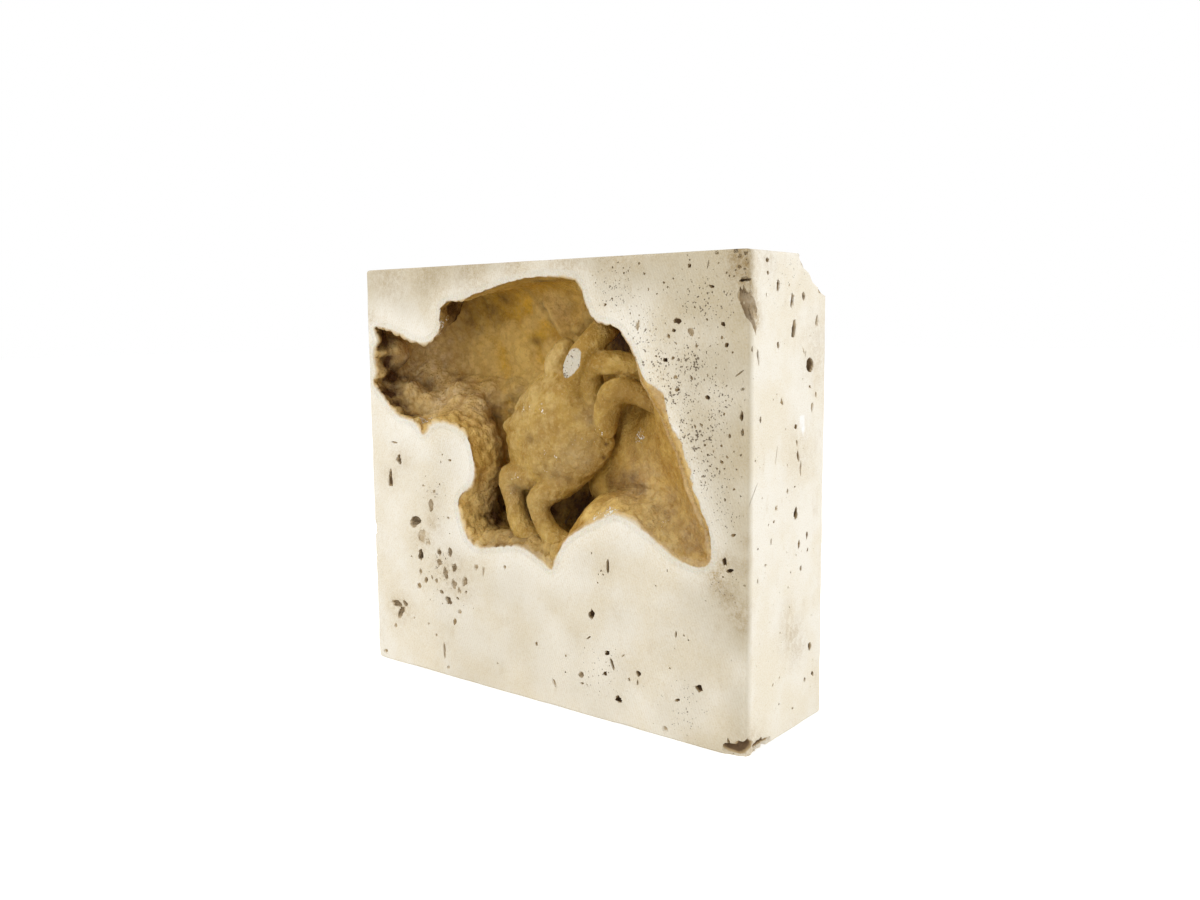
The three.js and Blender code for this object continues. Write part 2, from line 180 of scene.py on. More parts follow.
def movePoints(piece, points):
    # each point put at its row of the array, in millimetres
    piece.data.vertices.foreach_set("co", (points * mm).ravel())
    piece.data.update()


def setMasks(piece, name, *channels):
    # up to four masks from 0 to 1, one in each channel of a colour attribute
    masks = piece.data.color_attributes.new(name, 'FLOAT_COLOR', 'POINT')
    values = np.ones((len(channels[0]), 4))
    values[:, :len(channels)] = np.stack(channels, axis=-1)
    masks.data.foreach_set("color", np.clip(values, 0, 1).ravel())


def marks(place, rows):
    # each mark [x, z, depth, radius, strength] fades as exp(-(distance / radius)^2), ragged by noise
    ragged = 1 + 0.5 * softNoise(place, 1.4, 71)
    strongest = np.zeros(place.shape[:-1])
    for x, z, depth, radius, strength in rows:
        away = ((place - inBlock([x, z, depth])) ** 2).sum(axis=-1) / radius ** 2
        strongest = np.maximum(strongest, strength * np.exp(-away * ragged))
    return strongest


def shadeSmooth(piece):
    # shading that blends from face to face
    piece.data.polygons.foreach_set("use_smooth", np.ones(len(piece.data.polygons), dtype=bool))


def applyModifiers(piece):
    # the piece's mesh as its modifiers leave it
    finished = piece.evaluated_get(bpy.context.evaluated_depsgraph_get())
    mesh = bpy.data.meshes.new_from_object(finished)
    piece.modifiers.clear()
    piece.data = mesh


def joinPieces(name, parts):
    # one mesh of several, each still its own closed skin
    joined = bmesh.new()
    for part in parts:
        joined.from_mesh(part.data)
        bpy.data.objects.remove(part)
    mesh = bpy.data.meshes.new(name)
    joined.to_mesh(mesh)
    joined.free()
    return addObject(name, mesh)


def outwards(piece, weld=0):
    # doubles within the weld's reach merged, and the faces turned outwards
    shape = bmesh.new()
    shape.from_mesh(piece.data)
    if weld:
        bmesh.ops.remove_doubles(shape, verts=shape.verts, dist=weld * mm)
    bmesh.ops.recalc_face_normals(shape, faces=shape.faces)
    shape.to_mesh(piece.data)
    shape.free()
    return piece


def cutAway(piece, tool):
    # the tool's volume taken out of the piece, and the tool with it
    cut = piece.modifiers.new("cut", 'BOOLEAN')
    cut.operation = 'DIFFERENCE'
    cut.solver = 'MANIFOLD'
    cut.object = tool
    applyModifiers(piece)
    bpy.data.objects.remove(tool)


# The hollow's lining of honey calcite.
liningFacts = {
    "columns": 720,
    "rows": (26, 34, 46),      # from the mouth to the wall, the back and the deepest point
    "mouthEasing": 6,          # rounds of averaging of the mouth line's directions
    "lip": 1.5,                # crust shown flat in the sawn face, round the mouth
    "lipBeyond": 0.6,          # and past the honey band where that is wide
    "lipUnder": 0.5,           # run on under the stone
    "lipRows": 14,
    "lipRoll": 0.55,           # how far the honey band rolls back behind the sawn face
    "lipGap": 0.3,             # the lip stays this far inside the block's left side,
    "insideGap": 0.95,         # the crust behind it this far
    "skinGap": 0.4,            # and the hidden skin this far
    "skinDepth": 0.3,          # which starts this far behind the sawn face
    "ragged": 0.5,             # height of the scallops along the rim,
    "raggedReach": 0.35,       # and how far they run on behind it, in steps
    "skin": 1.25,              # thickness
    "skinRows": (0.12, 2.9, 9),    # first step, last step and count of the hidden skin's rows
    "deepest": -0.8,           # the relief stays inside the stone's cut
    "broad": (0.45, 9.0),      # the relief's parts, each with its height and its size
    "middle": (0.26, 3.4),
    "fine": (0.1, 1.5),
    "folds": (0.55, 3.6),      # upright, on the back wall
    "knobs": (1.2, 2.7),
    "bankKnobs": (1.2, 2.2),
    "smallKnobs": (0.62, 1.3),
    "floorLumps": (1.1, 1.9),
    "grain": (0.16, 1.0),
}

# The honey band down the right of the mouth: [mouth point, width].
honeyBand = np.array([
    [13.9, 0], [14.6, 0.5], [15, 0.8], [15.25, 1.9], [15.6, 2.9], [15.85, 2.5], [16.1, 1.2], [16.5, 1],
    [16.8, 1.8], [17.1, 1.4], [17.5, 1.9], [17.9, 0.8], [19, 0.45], [20.3, 0],
])

# The mouth in the sawn face, clockwise from its top left corner: [x, z].
mouth = np.array([
    [-52.4, 85.8], [-45.5, 85], [-38.5, 82.6], [-33, 82.2], [-29, 85.2], [-27.6, 90.8], [-19.5, 92.3],
    [-10.3, 94.6], [-1.5, 96.2], [8, 96.4], [13.4, 95.4], [16, 90.5], [18.2, 87.1], [24.6, 85],
    [28.8, 79.4], [30.2, 74.5], [34.6, 68.1], [38.8, 60.5], [42.2, 52.5], [45.8, 45.2], [47, 39.8],
    [44.6, 37.6], [38.5, 38.7], [31.5, 42.9], [24, 45.9], [16.4, 43.1], [9.6, 39], [6.6, 34.4], [5.1, 31.7],
    [2, 33.3], [-4.2, 35.6], [-11.1, 34.8], [-18, 33.8], [-22.2, 37.2], [-23.9, 44.4], [-19.4, 48.8],
    [-18.4, 53.4], [-20.6, 60], [-26, 62.6], [-31.8, 62.6], [-35.6, 59.6], [-38.6, 62.4], [-45, 64],
    [-50.2, 68.4], [-53.6, 71.7], [-52.6, 74.6], [-53.3, 78.2], [-53, 80.4], [-51.6, 82.4],
])

# Two closed lines further in, tied to the mouth's points: [mouth point, x, z, depth].
wallLine = np.array([
    [0, -53.2, 85.3, 6], [2, -42, 86.5, 8], [3, -35.6, 86.6, 8.5], [4, -31.8, 88.8, 8.5],
    [5, -29.8, 93.2, 8.5], [6, -22, 94, 8], [8, -3, 96.2, 8], [9, 8, 96.3, 8], [10, 15, 94.8, 8],
    [12, 22, 89.5, 8], [13, 27.5, 85.5, 8], [14, 29, 79.5, 8], [15, 28, 73.5, 8], [16, 26.5, 67.5, 8],
    [17, 26.5, 62, 7.8], [18, 27.5, 57, 7.8], [19, 29, 53.6, 7.6], [20, 31.5, 51.6, 6.6],
    [21, 32, 50.6, 6.6], [22, 28.5, 50.2, 7.4], [23, 24, 49.9, 8.2], [24, 18.5, 49.4, 8.2],
    [25, 12.4, 47.4, 7.4], [26, 9.7, 43.8, 5.4], [27, 8.2, 40.2, 4.2], [28, 4.8, 37.8, 4.8],
    [30, -4, 37.2, 6], [32, -17, 36, 7], [33, -21, 39.5, 8], [34, -20.8, 45, 8], [36, -18.5, 53, 9],
    [37, -20.5, 61, 9], [38, -28, 66.5, 9], [40, -37, 66.5, 9], [41.4, -42.6, 64.2, 7.5],
    [42.3, -47.4, 65.2, 6.5], [43.2, -51.8, 68.6, 6.5], [44, -53.2, 72, 6], [46.5, -53.7, 79, 6],
])
backLine = np.array([
    [0, -48, 84.5, 17], [3, -38, 88.5, 18], [5, -32, 92, 18], [8, -5, 92.5, 19], [10, 12, 90.5, 18],
    [13, 20, 83, 17], [15, 18, 72, 15], [17, 13.5, 62, 12.5], [19, 11.5, 55.5, 12], [21, 10.5, 52.6, 11.5],
    [23, 6.5, 50.6, 12.8], [24, 5.2, 48, 14], [25, 6, 45.2, 16], [27, 5.6, 41.5, 20], [28, 3.5, 39.5, 21],
    [30, -5, 38.6, 21], [32, -17, 39.5, 21], [34, -23.5, 46, 19], [36, -24, 55, 18], [38, -29, 68, 17],
    [41, -40, 72, 17], [44, -49, 75, 17], [46.5, -50.5, 80, 17],
])
deepestPoint = inBlock([-6.0, 70.0, 22.5])

# Single swellings on the lining: [x, z, depth, radius, height].
swellings = np.array([
    [-52.6, 79, 7.4, 3.8, 3.5], [-49.2, 69.2, 8.2, 4.2, 4], [-53.4, 79.6, 1.8, 1.5, 1.5],
    [-53.4, 74.6, 1.8, 1.5, 1.4], [-45.9, 64.4, 1.6, 1.6, 1.3], [-49, 75, 15.5, 4, 3],
    [-48.5, 81, 15.5, 3.4, 2.2], [-43.5, 66.8, 9.5, 3, 2.2], [-36.7, 69.1, 12.2, 2.4, 1.6],
    [-40.3, 68.4, 8.6, 2.2, 1.5], [-33, 67, 9.5, 2.2, 1.4], [-36, 68, 15.6, 3.6, 1.6],
    [-30.5, 66.5, 13, 3.4, 1.4], [-29.8, 69.8, 17.4, 3, 1.7], [-26.5, 65.6, 11, 2.4, 1.3],
    [-17, 35.4, 3.6, 2.6, 1.8], [-12.6, 36, 4.2, 3, 2.2], [-7.5, 35.4, 4.4, 2.6, 1.7],
    [-2.4, 35.2, 2.9, 1.9, 1.5], [2.2, 34.6, 2.8, 2.2, 1.1], [-9.5, 91.6, 19.2, 2.4, 2.2],
    [-8.4, 88, 20.1, 2.3, 2.6], [-6.4, 84.9, 20.7, 2.2, 2.9], [-1.6, 85.2, 20.6, 2, 3],
    [2, 88.5, 19.6, 3, 1.9], [4.5, 93.2, 16.5, 3.4, 1.8], [-13.5, 90, 19, 2.6, 1.4],
    [-20.5, 79, 20.4, 3.4, 1.5], [-24.5, 84, 19, 3.6, 1.4], [-22, 71.5, 19.5, 3, 1.6],
    [-15.5, 73, 21, 3, 1.4], [-17.5, 86.5, 19.5, 2.6, 1.2], [-12, 80, 21.5, 2.8, 1.4],
    [21.5, 46.8, 3.4, 3.2, 1.1], [28.5, 45, 3.6, 3.6, 0.9], [15.2, 44.4, 3.4, 2.6, 0.9],
    [36, 42, 3, 3.4, 0.6], [18.5, 51.5, 9, 2.2, -0.3], [23.6, 50.4, 8.6, 1.8, -0.3],
])

# Marks on the lining: [x, z, depth, radius, strength].
liningMarks = {
    # pale: partly paler crust and partly painted light, lightening the left of the back wall where the
    # lamps light it dimly, and painted highlights on the two blobs
    "pale": [
        [-36, 78, 17, 8, 1], [-29, 77, 19, 5, 0.4], [-49.5, 80, 5.6, 4, 0.6], [-47.6, 71.4, 5.2, 4, 0.7],
        [-40, 68, 7.5, 4.5, 0.5], [-8, 89, 19, 4, 0.5], [-5, 85, 18.5, 3.4, 0.7], [0.5, 91, 18, 4, 0.4],
        [-44, 78, 14, 5, 0.5], [30, 47, 4, 5, 0.3],
    ],
    # stain: some real stains, but mostly painted shade: the dark pockets behind the left tongue, the clefts
    # of the left recess, the holes behind the crab and at the upper right, the shadow under the crab on the
    # ramp, and the darker floor and bank
    "stain": [
        [-30, 90.6, 5.5, 4.2, 1], [-31.2, 88.6, 8, 3.6, 0.9], [-33, 90.6, 12, 5.4, 0.95],
        [-34, 91, 10.3, 4.6, 0.9], [-36, 89.5, 15, 4.6, 0.5], [-37, 88, 18.4, 4.2, 0.4],
        [-31.5, 93, 6.5, 3.6, 0.9], [-30, 90, 17, 3.6, 0.6], [-24.7, 92.5, 17.8, 2.6, 0.55],
        [-4.1, 96, 9, 2.8, 0.6], [-16.3, 82.1, 20.7, 1.6, 0.5], [-53, 83, 3.2, 3.4, 1],
        [-53.6, 77, 4, 3.2, 1], [-53.6, 80.5, 4.4, 2, 1], [-53, 73.4, 5.6, 3, 1], [-51.4, 69, 3, 3, 1],
        [-48.6, 66.4, 3.4, 2.6, 0.9], [-50.5, 74.3, 9.5, 2.6, 0.9], [-47, 69.6, 12.5, 2.6, 0.6],
        [-48, 84, 12, 2.6, 0.5], [-44.2, 64.4, 3.4, 2.7, 1], [-47.5, 71.6, 14, 1.8, 0.5],
        [-11.6, 90.5, 18.4, 1.4, 0.4], [-4.2, 90, 18.6, 1.3, 0.4], [-11.4, 86.4, 19.6, 1.3, 0.35],
        [2.8, 85.4, 19.4, 1.4, 0.4], [-20, 93.4, 15.8, 1.7, 0.45], [-15.6, 93.6, 16.4, 1.6, 0.4],
        [-33, 66, 15, 2.6, 0.4], [-26, 63, 15, 3, 0.5], [-20, 66, 19, 4, 0.4], [34, 44.5, 3.6, 8, 0.26],
        [42, 41.5, 3, 5, 0.3], [27, 47, 3.6, 4, 0.15], [-12, 35.5, 3.5, 6, 0.4], [-5, 35.5, 2.6, 5, 0.42],
        [1, 34.5, 3, 5, 0.42], [28, 60, 8, 9, 0.15], [8.5, 39, 3, 3, 0.25], [5.2, 33, 2, 2.4, 0.4],
        [-44.4, 75.7, 16.3, 1.2, 0.6], [-42, 74, 16.8, 1.2, 0.6], [-40, 72.4, 17, 1.3, 0.6],
        [-20.5, 40, 9.5, 3.6, 0.9], [-20, 43, 15, 6, 1], [-14, 41, 19, 7, 1], [-3, 42, 20, 8, 1],
        [5, 43, 14, 5, 1], [7.5, 45.5, 12, 3.2, 0.7], [10, 83.5, 19, 6.5, 1], [17, 84, 15, 5.5, 0.9],
        [14.5, 51, 9.8, 3, 0.5], [18, 52, 9.4, 2.8, 0.55], [21.5, 52.6, 9, 2.2, 0.5],
        [24, 51, 8.5, 1.6, 0.4], [3.5, 42, 16, 4.5, 1], [-29, 58, 15, 3, 0.4], [-21.5, 57, 12, 3.5, 0.35],
        [24, 66, 9, 2.6, 0.3],
    ],
    "powder": [
        [23.6, 61.8, 8.8, 1.7, 0.75], [-28.9, 86.2, 1.2, 1.7, 0.9], [-30.2, 84.6, 1.2, 1.4, 0.8],
        [-29.6, 87.4, 3.2, 1.4, 0.6], [-2.4, 35.9, 2, 1.2, 1], [-37.7, 62.9, 2.6, 1.5, 0.9],
        [-39.3, 60.9, 0.5, 1.4, 0.9], [-49, 71.2, 8.8, 1.1, 0.9], [-6.5, 84.6, 21, 1, 0.4],
        [34, 44, 3.6, 2.2, 0.35], [22, 46, 0.6, 2.2, 0.8], [18, 44.8, 0.5, 1.6, 0.6],
        [-9, 35.6, 3.4, 1, 0.6], [29, 52.5, 7.4, 0.5, 0.8],
    ],
    "dull": [
        [-47, 76, 10, 11, 1], [-38, 68, 11, 9, 1], [-28, 66, 12, 7, 0.9], [-21, 60, 12, 7, 0.6],
        [-22, 46, 8, 7, 0.5], [-30, 84, 3, 5, 0.8], [24, 51, 8, 6, 0.7], [32, 46, 4, 7, 0.5],
        [41, 43, 3, 6, 0.5], [-10, 35, 3, 9, 0.4], [-8.5, 89, 20, 4, 0.4],
    ],
}


def mouthLine(stations):
    # the mouth's smooth line at stations counted along its points
    rim = throughPoints(mouth, stations, True)
    return inBlock(np.column_stack([rim, np.zeros(len(rim))]))


def tiedLine(rows, stations):
    # a closed line whose points hang from numbered points of the mouth
    ties = np.append(rows[:, 0], len(mouth))
    return inBlock(throughPoints(rows[:, 1:], np.interp(stations, ties, np.arange(len(ties))), True))


def hollowGrid(stations, steps):
    # on each station a cubic line runs from the mouth over the wall and back lines to the deepest point
    line = [mouthLine(stations), tiedLine(wallLine, stations), tiedLine(backLine, stations)]
    line.append(np.broadcast_to(deepestPoint, line[0].shape))
    line = [2 * line[0] - line[1]] + line + [2 * line[3] - line[2]]
    rows = []
    for step in steps:
        part = min(int(step), 2)
        rows.append(cubicBetween(*line[part:part + 4], step - part))
    return np.stack(rows)


def honeyWidth(stations):
    # the honey band's width, in straight steps between its listed stations
    return np.interp(stations, honeyBand[:, 0], honeyBand[:, 1])


def lipWidth(stations):
    # the larger of the lip and the honey band with a little more
    return np.maximum(liningFacts["lip"], honeyWidth(stations) + liningFacts["lipBeyond"])[:, None]


def outFromMouth(stations, reach):
    # the mouth's line moved out from it in the plane of the sawn face
    rim = mouthLine(stations)
    along = np.roll(rim, -1, axis=0) - np.roll(rim, 1, axis=0)
    for _ in range(liningFacts["mouthEasing"]):
        along = along + np.roll(along, 1, axis=0) + np.roll(along, -1, axis=0)
    outward = unit(np.stack([-along[:, 2], np.zeros(len(rim)), along[:, 0]], axis=-1))
    return rim + reach * outward


def behindWalls(stations, steps, thickness):
    # the hollow's walls moved back into the stone along their normals
    walls = hollowGrid(stations, steps)
    away = gridNormals(walls)
    if away[2, :, 1].mean() < 0:
        away = -away
    return walls + thickness * away


def liningRelief(place):
    # heights in millimetres: noise, upright folds, knobs and lumps of bubbles, and the single swellings
    facts = liningFacts
    x, depth, z = place[..., 0], place[..., 1] - frontY, place[..., 2]
    leftSide = smoothStep(-13, -20, x) * (1 - 0.8 * smoothStep(13, 17, depth) * smoothStep(64, 72, z))
    floor = smoothStep(44, 38, z) * smoothStep(12, 6, x)
    bank = smoothStep(11, 14, x) * smoothStep(51, 48, z)
    back = smoothStep(13, 18, depth) * smoothStep(-36, -28, x)
    drawn = place * np.array([1.0, 1.0, 0.4])
    upright = place * np.array([1.0, 0.6, 0.36])
    height = np.zeros(place.shape[:-1])
    for kind, share, at, seed in (
        ("broad", 1, place, 1), ("middle", 1, drawn, 2), ("fine", 1, place, 3), ("folds", back, upright, 4),
    ):
        high, size = facts[kind]
        height += share * high * softNoise(at, size, seed)
    for kind, share, level, seed in (
        ("knobs", leftSide, 0.55, 5), ("bankKnobs", 0.35 * bank, 0.5, 10),
        ("smallKnobs", np.maximum(leftSide, 0.9 * bank), 0.5, 6), ("floorLumps", floor, 0.5, 8),
        ("grain", 1, 0.5, 9),
    ):
        high, size = facts[kind]
        height += share * high * (bubbles(place, size, seed) - level)
    for sx, sz, sd, radius, rise in swellings:
        away = ((place - inBlock([sx, sz, sd])) ** 2).sum(axis=-1) / radius ** 2
        height += rise * np.exp(-away ** 1.5)
    return np.maximum(height, facts["deepest"])


def rimScallops(rim):
    # two sizes of bubbles along the rim, lower beside the block's left side
    scallops = 0.6 * bubbles(rim, 1.9, 11) + 0.6 * bubbles(rim, 0.9, 12) - 0.75
    return scallops * (1 - 0.5 * smoothStep(-48, -51, rim[:, 0]))


def makeLip(stations, shares, rim, outward, scallops):
    # rows in the sawn face at shares of the lip's width, and how much of each point is honey band
    facts = liningFacts
    reach = (lipWidth(stations)[:, 0] + facts["lipUnder"]) * shares[:, None]
    lip = np.stack([outFromMouth(stations, row[:, None]) for row in reach])
    lip -= facts["ragged"] * np.clip(1 - 1.6 * shares, 0, 1)[:, None, None] * scallops[:, None] * outward
    # the band runs between its first and last stations, its width made ragged by noise and scallops
    first, last = honeyBand[0, 0], honeyBand[-1, 0]
    right = smoothStep(first, first + 1.1, stations) * smoothStep(last, last - 1.3, stations)
    width = honeyWidth(stations) * (1 + 0.3 * softNoise(rim, 1.1, 13)) + 0.3 * softNoise(rim, 2.4, 14)
    width = 0.1 + right * (width + 0.35 * scallops)
    honey = smoothStep(width + 0.16, width - 0.16, reach)
    lip[..., 1] += facts["lipRoll"] * (right * honey) * smoothStep(1.6, 0.0, reach)
    lip[..., 0] = np.maximum(lip[..., 0], blockLow[0] + facts["lipGap"])
    return lip, honey


def makeLining():
    # one closed crust: the hidden skin from its deepest row out, the lip in to the rim, and the inside
    facts = liningFacts
    stations = np.arange(facts["columns"]) / facts["columns"] * len(mouth)
    steps = np.concatenate([part + np.arange(count) / count for part, count in enumerate(facts["rows"])])
    inside = hollowGrid(stations, steps)
    rim = mouthLine(stations)
    outward = outFromMouth(stations, 1) - rim
    scallops = rimScallops(rim)
    # the scallops die out over the first rows behind the rim and over the lip
    fading = np.clip(1 - steps / facts["raggedReach"], 0, 1) ** 2
    inside -= facts["ragged"] * fading[:, None, None] * scallops[:, None] * outward
    lipShares = np.linspace(1, 0, facts["lipRows"] + 1)[:-1]
    lip, honey = makeLip(stations, lipShares, rim, outward, scallops)
    # the relief pushes the front rows along their normals, less and less towards the lip's outer edge
    front = np.concatenate([lip, inside])
    facing = gridNormals(front)
    if facing[0, :, 1].mean() > 0:
        facing = -facing
    weight = np.ones(len(front))
    weight[:len(lip)] = 0.35 * (1 - lipShares)
    relief = liningRelief(front)
    shown = front + facing * (relief * weight[:, None])[..., None]
    # held inside the block's left side and behind the sawn face
    shown[..., 0] = np.maximum(shown[..., 0], blockLow[0] + facts["lipGap"])
    shown[len(lip):, :, 0] = np.maximum(shown[len(lip):, :, 0], blockLow[0] + facts["insideGap"])
    shown[..., 1] = np.maximum(shown[..., 1], frontY + sawnGap)
    shown[0] = lip[0] + [0, sawnGap, 0]

    skin = behindWalls(stations, np.linspace(*facts["skinRows"]), facts["skin"])
    skin[..., 0] = np.maximum(skin[..., 0], blockLow[0] + facts["skinGap"])
    skin[..., 1] = np.maximum(skin[..., 1], frontY + facts["skinDepth"])
    rows = np.concatenate([skin[::-1], shown])
    piece = wrapGrid("hollowLining", rows, deepestPoint + [0, facts["skin"], 0], deepestPoint)

    hidden = np.zeros(skin.shape[:2])
    # the crest mask paints light and shade: paler where the relief stands up and darker in its hollows,
    # raised on the honey band and by the pale marks
    relief[:len(lip)] += 0.5 * honey
    crestLightAndShade = np.append(np.concatenate([hidden, relief]).ravel(), [0, 0])
    band = np.append(np.concatenate([hidden, honey, np.ones(inside.shape[:2])]).ravel(), [1, 1])
    place = pointsOf(piece)
    golden = smoothStep(10, 16, place[:, 1] - frontY) * smoothStep(-44, -30, place[:, 0])
    # the stain marks hold painted shade as well as real stains, and the pale marks hold painted light as
    # well as paler crust
    stain, powder, dull, pale = [
        marks(place, liningMarks[kind]) for kind in ("stain", "powder", "dull", "pale")
    ]
    setMasks(piece, "masks", 0.5 + 0.5 * crestLightAndShade + 0.45 * pale, stain, powder, dull)
    setMasks(piece, "stone", band, golden, 0.5 * stoneToneAndShade(place), poreShare(place))
    shadeSmooth(piece)
    return piece


# The crab: its shell and six limbs under one skin.
crabFacts = {
    "shellColumns": 260,
    "shellRows": (46, 22),       # above the margin and below it
    "limbColumns": 40,
    "limbRows": 90,
    "grid": 0.25,                # spacing of the skin that joins shell and limbs
    "softening": 6,              # smoothing passes over the joins
    "relief": 0.3,               # height of its bumps
}

# The back shell's margin, crown and underside: [x, z, depth].
shellMargin = inBlock([
    [3, 76.2, 6.4], [-2.9, 74.8, 6.8], [-7.1, 71.6, 7], [-10.2, 68.4, 7.1], [-12.3, 65.2, 7.2],
    [-15.5, 62.6, 7.4], [-14.2, 60.4, 7.2], [-14.7, 59, 7.3], [-13.7, 57.4, 7.1], [-13.2, 54.6, 7],
    [-10.5, 51.4, 6.2], [-5, 50.1, 5.4], [1.2, 50.6, 5], [7.1, 50.8, 6.2], [11.7, 53.2, 7.4],
    [15, 56.8, 8.2], [16.4, 60.6, 8.2], [15.4, 64.2, 7.6], [12.8, 68, 6.6], [10.2, 71.8, 6], [7, 75, 5.8],
])
shellCrown = inBlock([1.6, 63.5, 2.2])
shellUnderside = inBlock([1.0, 62.0, 13.6])

# Limbs, from the body outwards: [x, z, depth, radius].
limbs = {
    "claw": [
        [0.2, 72, 9.4, 3.2], [1.2, 75.2, 8.8, 3.7], [2.2, 77.8, 8.2, 3.7], [3.6, 79.9, 7.8, 3.1],
    ],
    "legSawn": [
        [8.4, 70.6, 6.4, 2.1], [10.2, 74.6, 3, 2.4], [12, 78.2, 1.9, 2.7], [13.9, 81.3, 3.2, 2.8],
        [15, 83.2, 4.9, 2.85], [14.6, 84.8, 8, 2.9], [13, 86.4, 12, 2.9], [11.2, 88, 16, 2.8],
    ],
    "legUpper": [
        [12.8, 65, 9, 2.2], [13, 68.6, 7.4, 2.5], [12.6, 72.2, 6, 2.7], [12.8, 75.2, 5, 2.75],
        [14.8, 77.4, 4.6, 2.8], [18, 77.9, 4.8, 2.8], [21.6, 77.3, 6, 2.8], [25.4, 76.4, 8, 2.7],
        [29.5, 75.4, 10.5, 2.6],
    ],
    "legLower": [
        [17.6, 63.8, 4.4, 2.4], [18.1, 66, 4, 2.7], [18.9, 68.8, 3.7, 2.9], [20.4, 71.3, 3.7, 2.9],
        [23, 72.2, 3.9, 2.7], [26.2, 71.4, 4.4, 2.4], [29.6, 69.8, 5.4, 2.1], [33, 68, 7, 2],
    ],
    "legFront": [
        [-3.6, 51.8, 8.6, 3], [-7.4, 51, 7.6, 3.3], [-10.4, 50.8, 6.8, 3.2], [-12.5, 50.4, 6.4, 2.9],
        [-12.1, 47.6, 6.2, 2.5], [-11, 44.6, 5.9, 2.35], [-10, 41.8, 5.6, 2.35], [-8.7, 39.3, 5.3, 2.5],
        [-6.8, 37.7, 5.3, 2.7], [-4.2, 36.6, 5.6, 2.5],
    ],
    "legRear": [
        [11.2, 59.8, 9.6, 3.4], [8.6, 56.4, 9.3, 3.8], [5.6, 53.2, 8.8, 3.8], [2.6, 50.4, 7.8, 3.6],
        [-0.4, 48.2, 6.4, 3.3], [-2.5, 46.1, 5.2, 2.9], [-2.2, 43.9, 4.7, 2.45], [-0.8, 41.5, 4.4, 2.4],
        [0.8, 39.4, 4.3, 2.5], [2.9, 37.6, 4.5, 2.7], [5.6, 36.8, 5, 2.3],
    ],
}

# Creases pressed into the crab, in the same columns as its marks; through the crest mask they also darken
# its colour as painted shade.
crabCreases = [
    [-2.6, 74, 6, 0.9, 1], [-1.2, 74.6, 5.2, 0.8, 0.9], [0.6, 74.9, 4.8, 0.8, 0.8],
    [2.6, 74.8, 4.6, 0.8, 0.9], [4.4, 74.4, 4.4, 0.8, 0.8], [-2.2, 51.6, 4.6, 0.9, 0.5],
    [1, 52.4, 4.2, 0.9, 0.6], [4, 51.8, 4.6, 0.9, 0.7], [6.6, 50.9, 5.4, 0.9, 0.6],
]

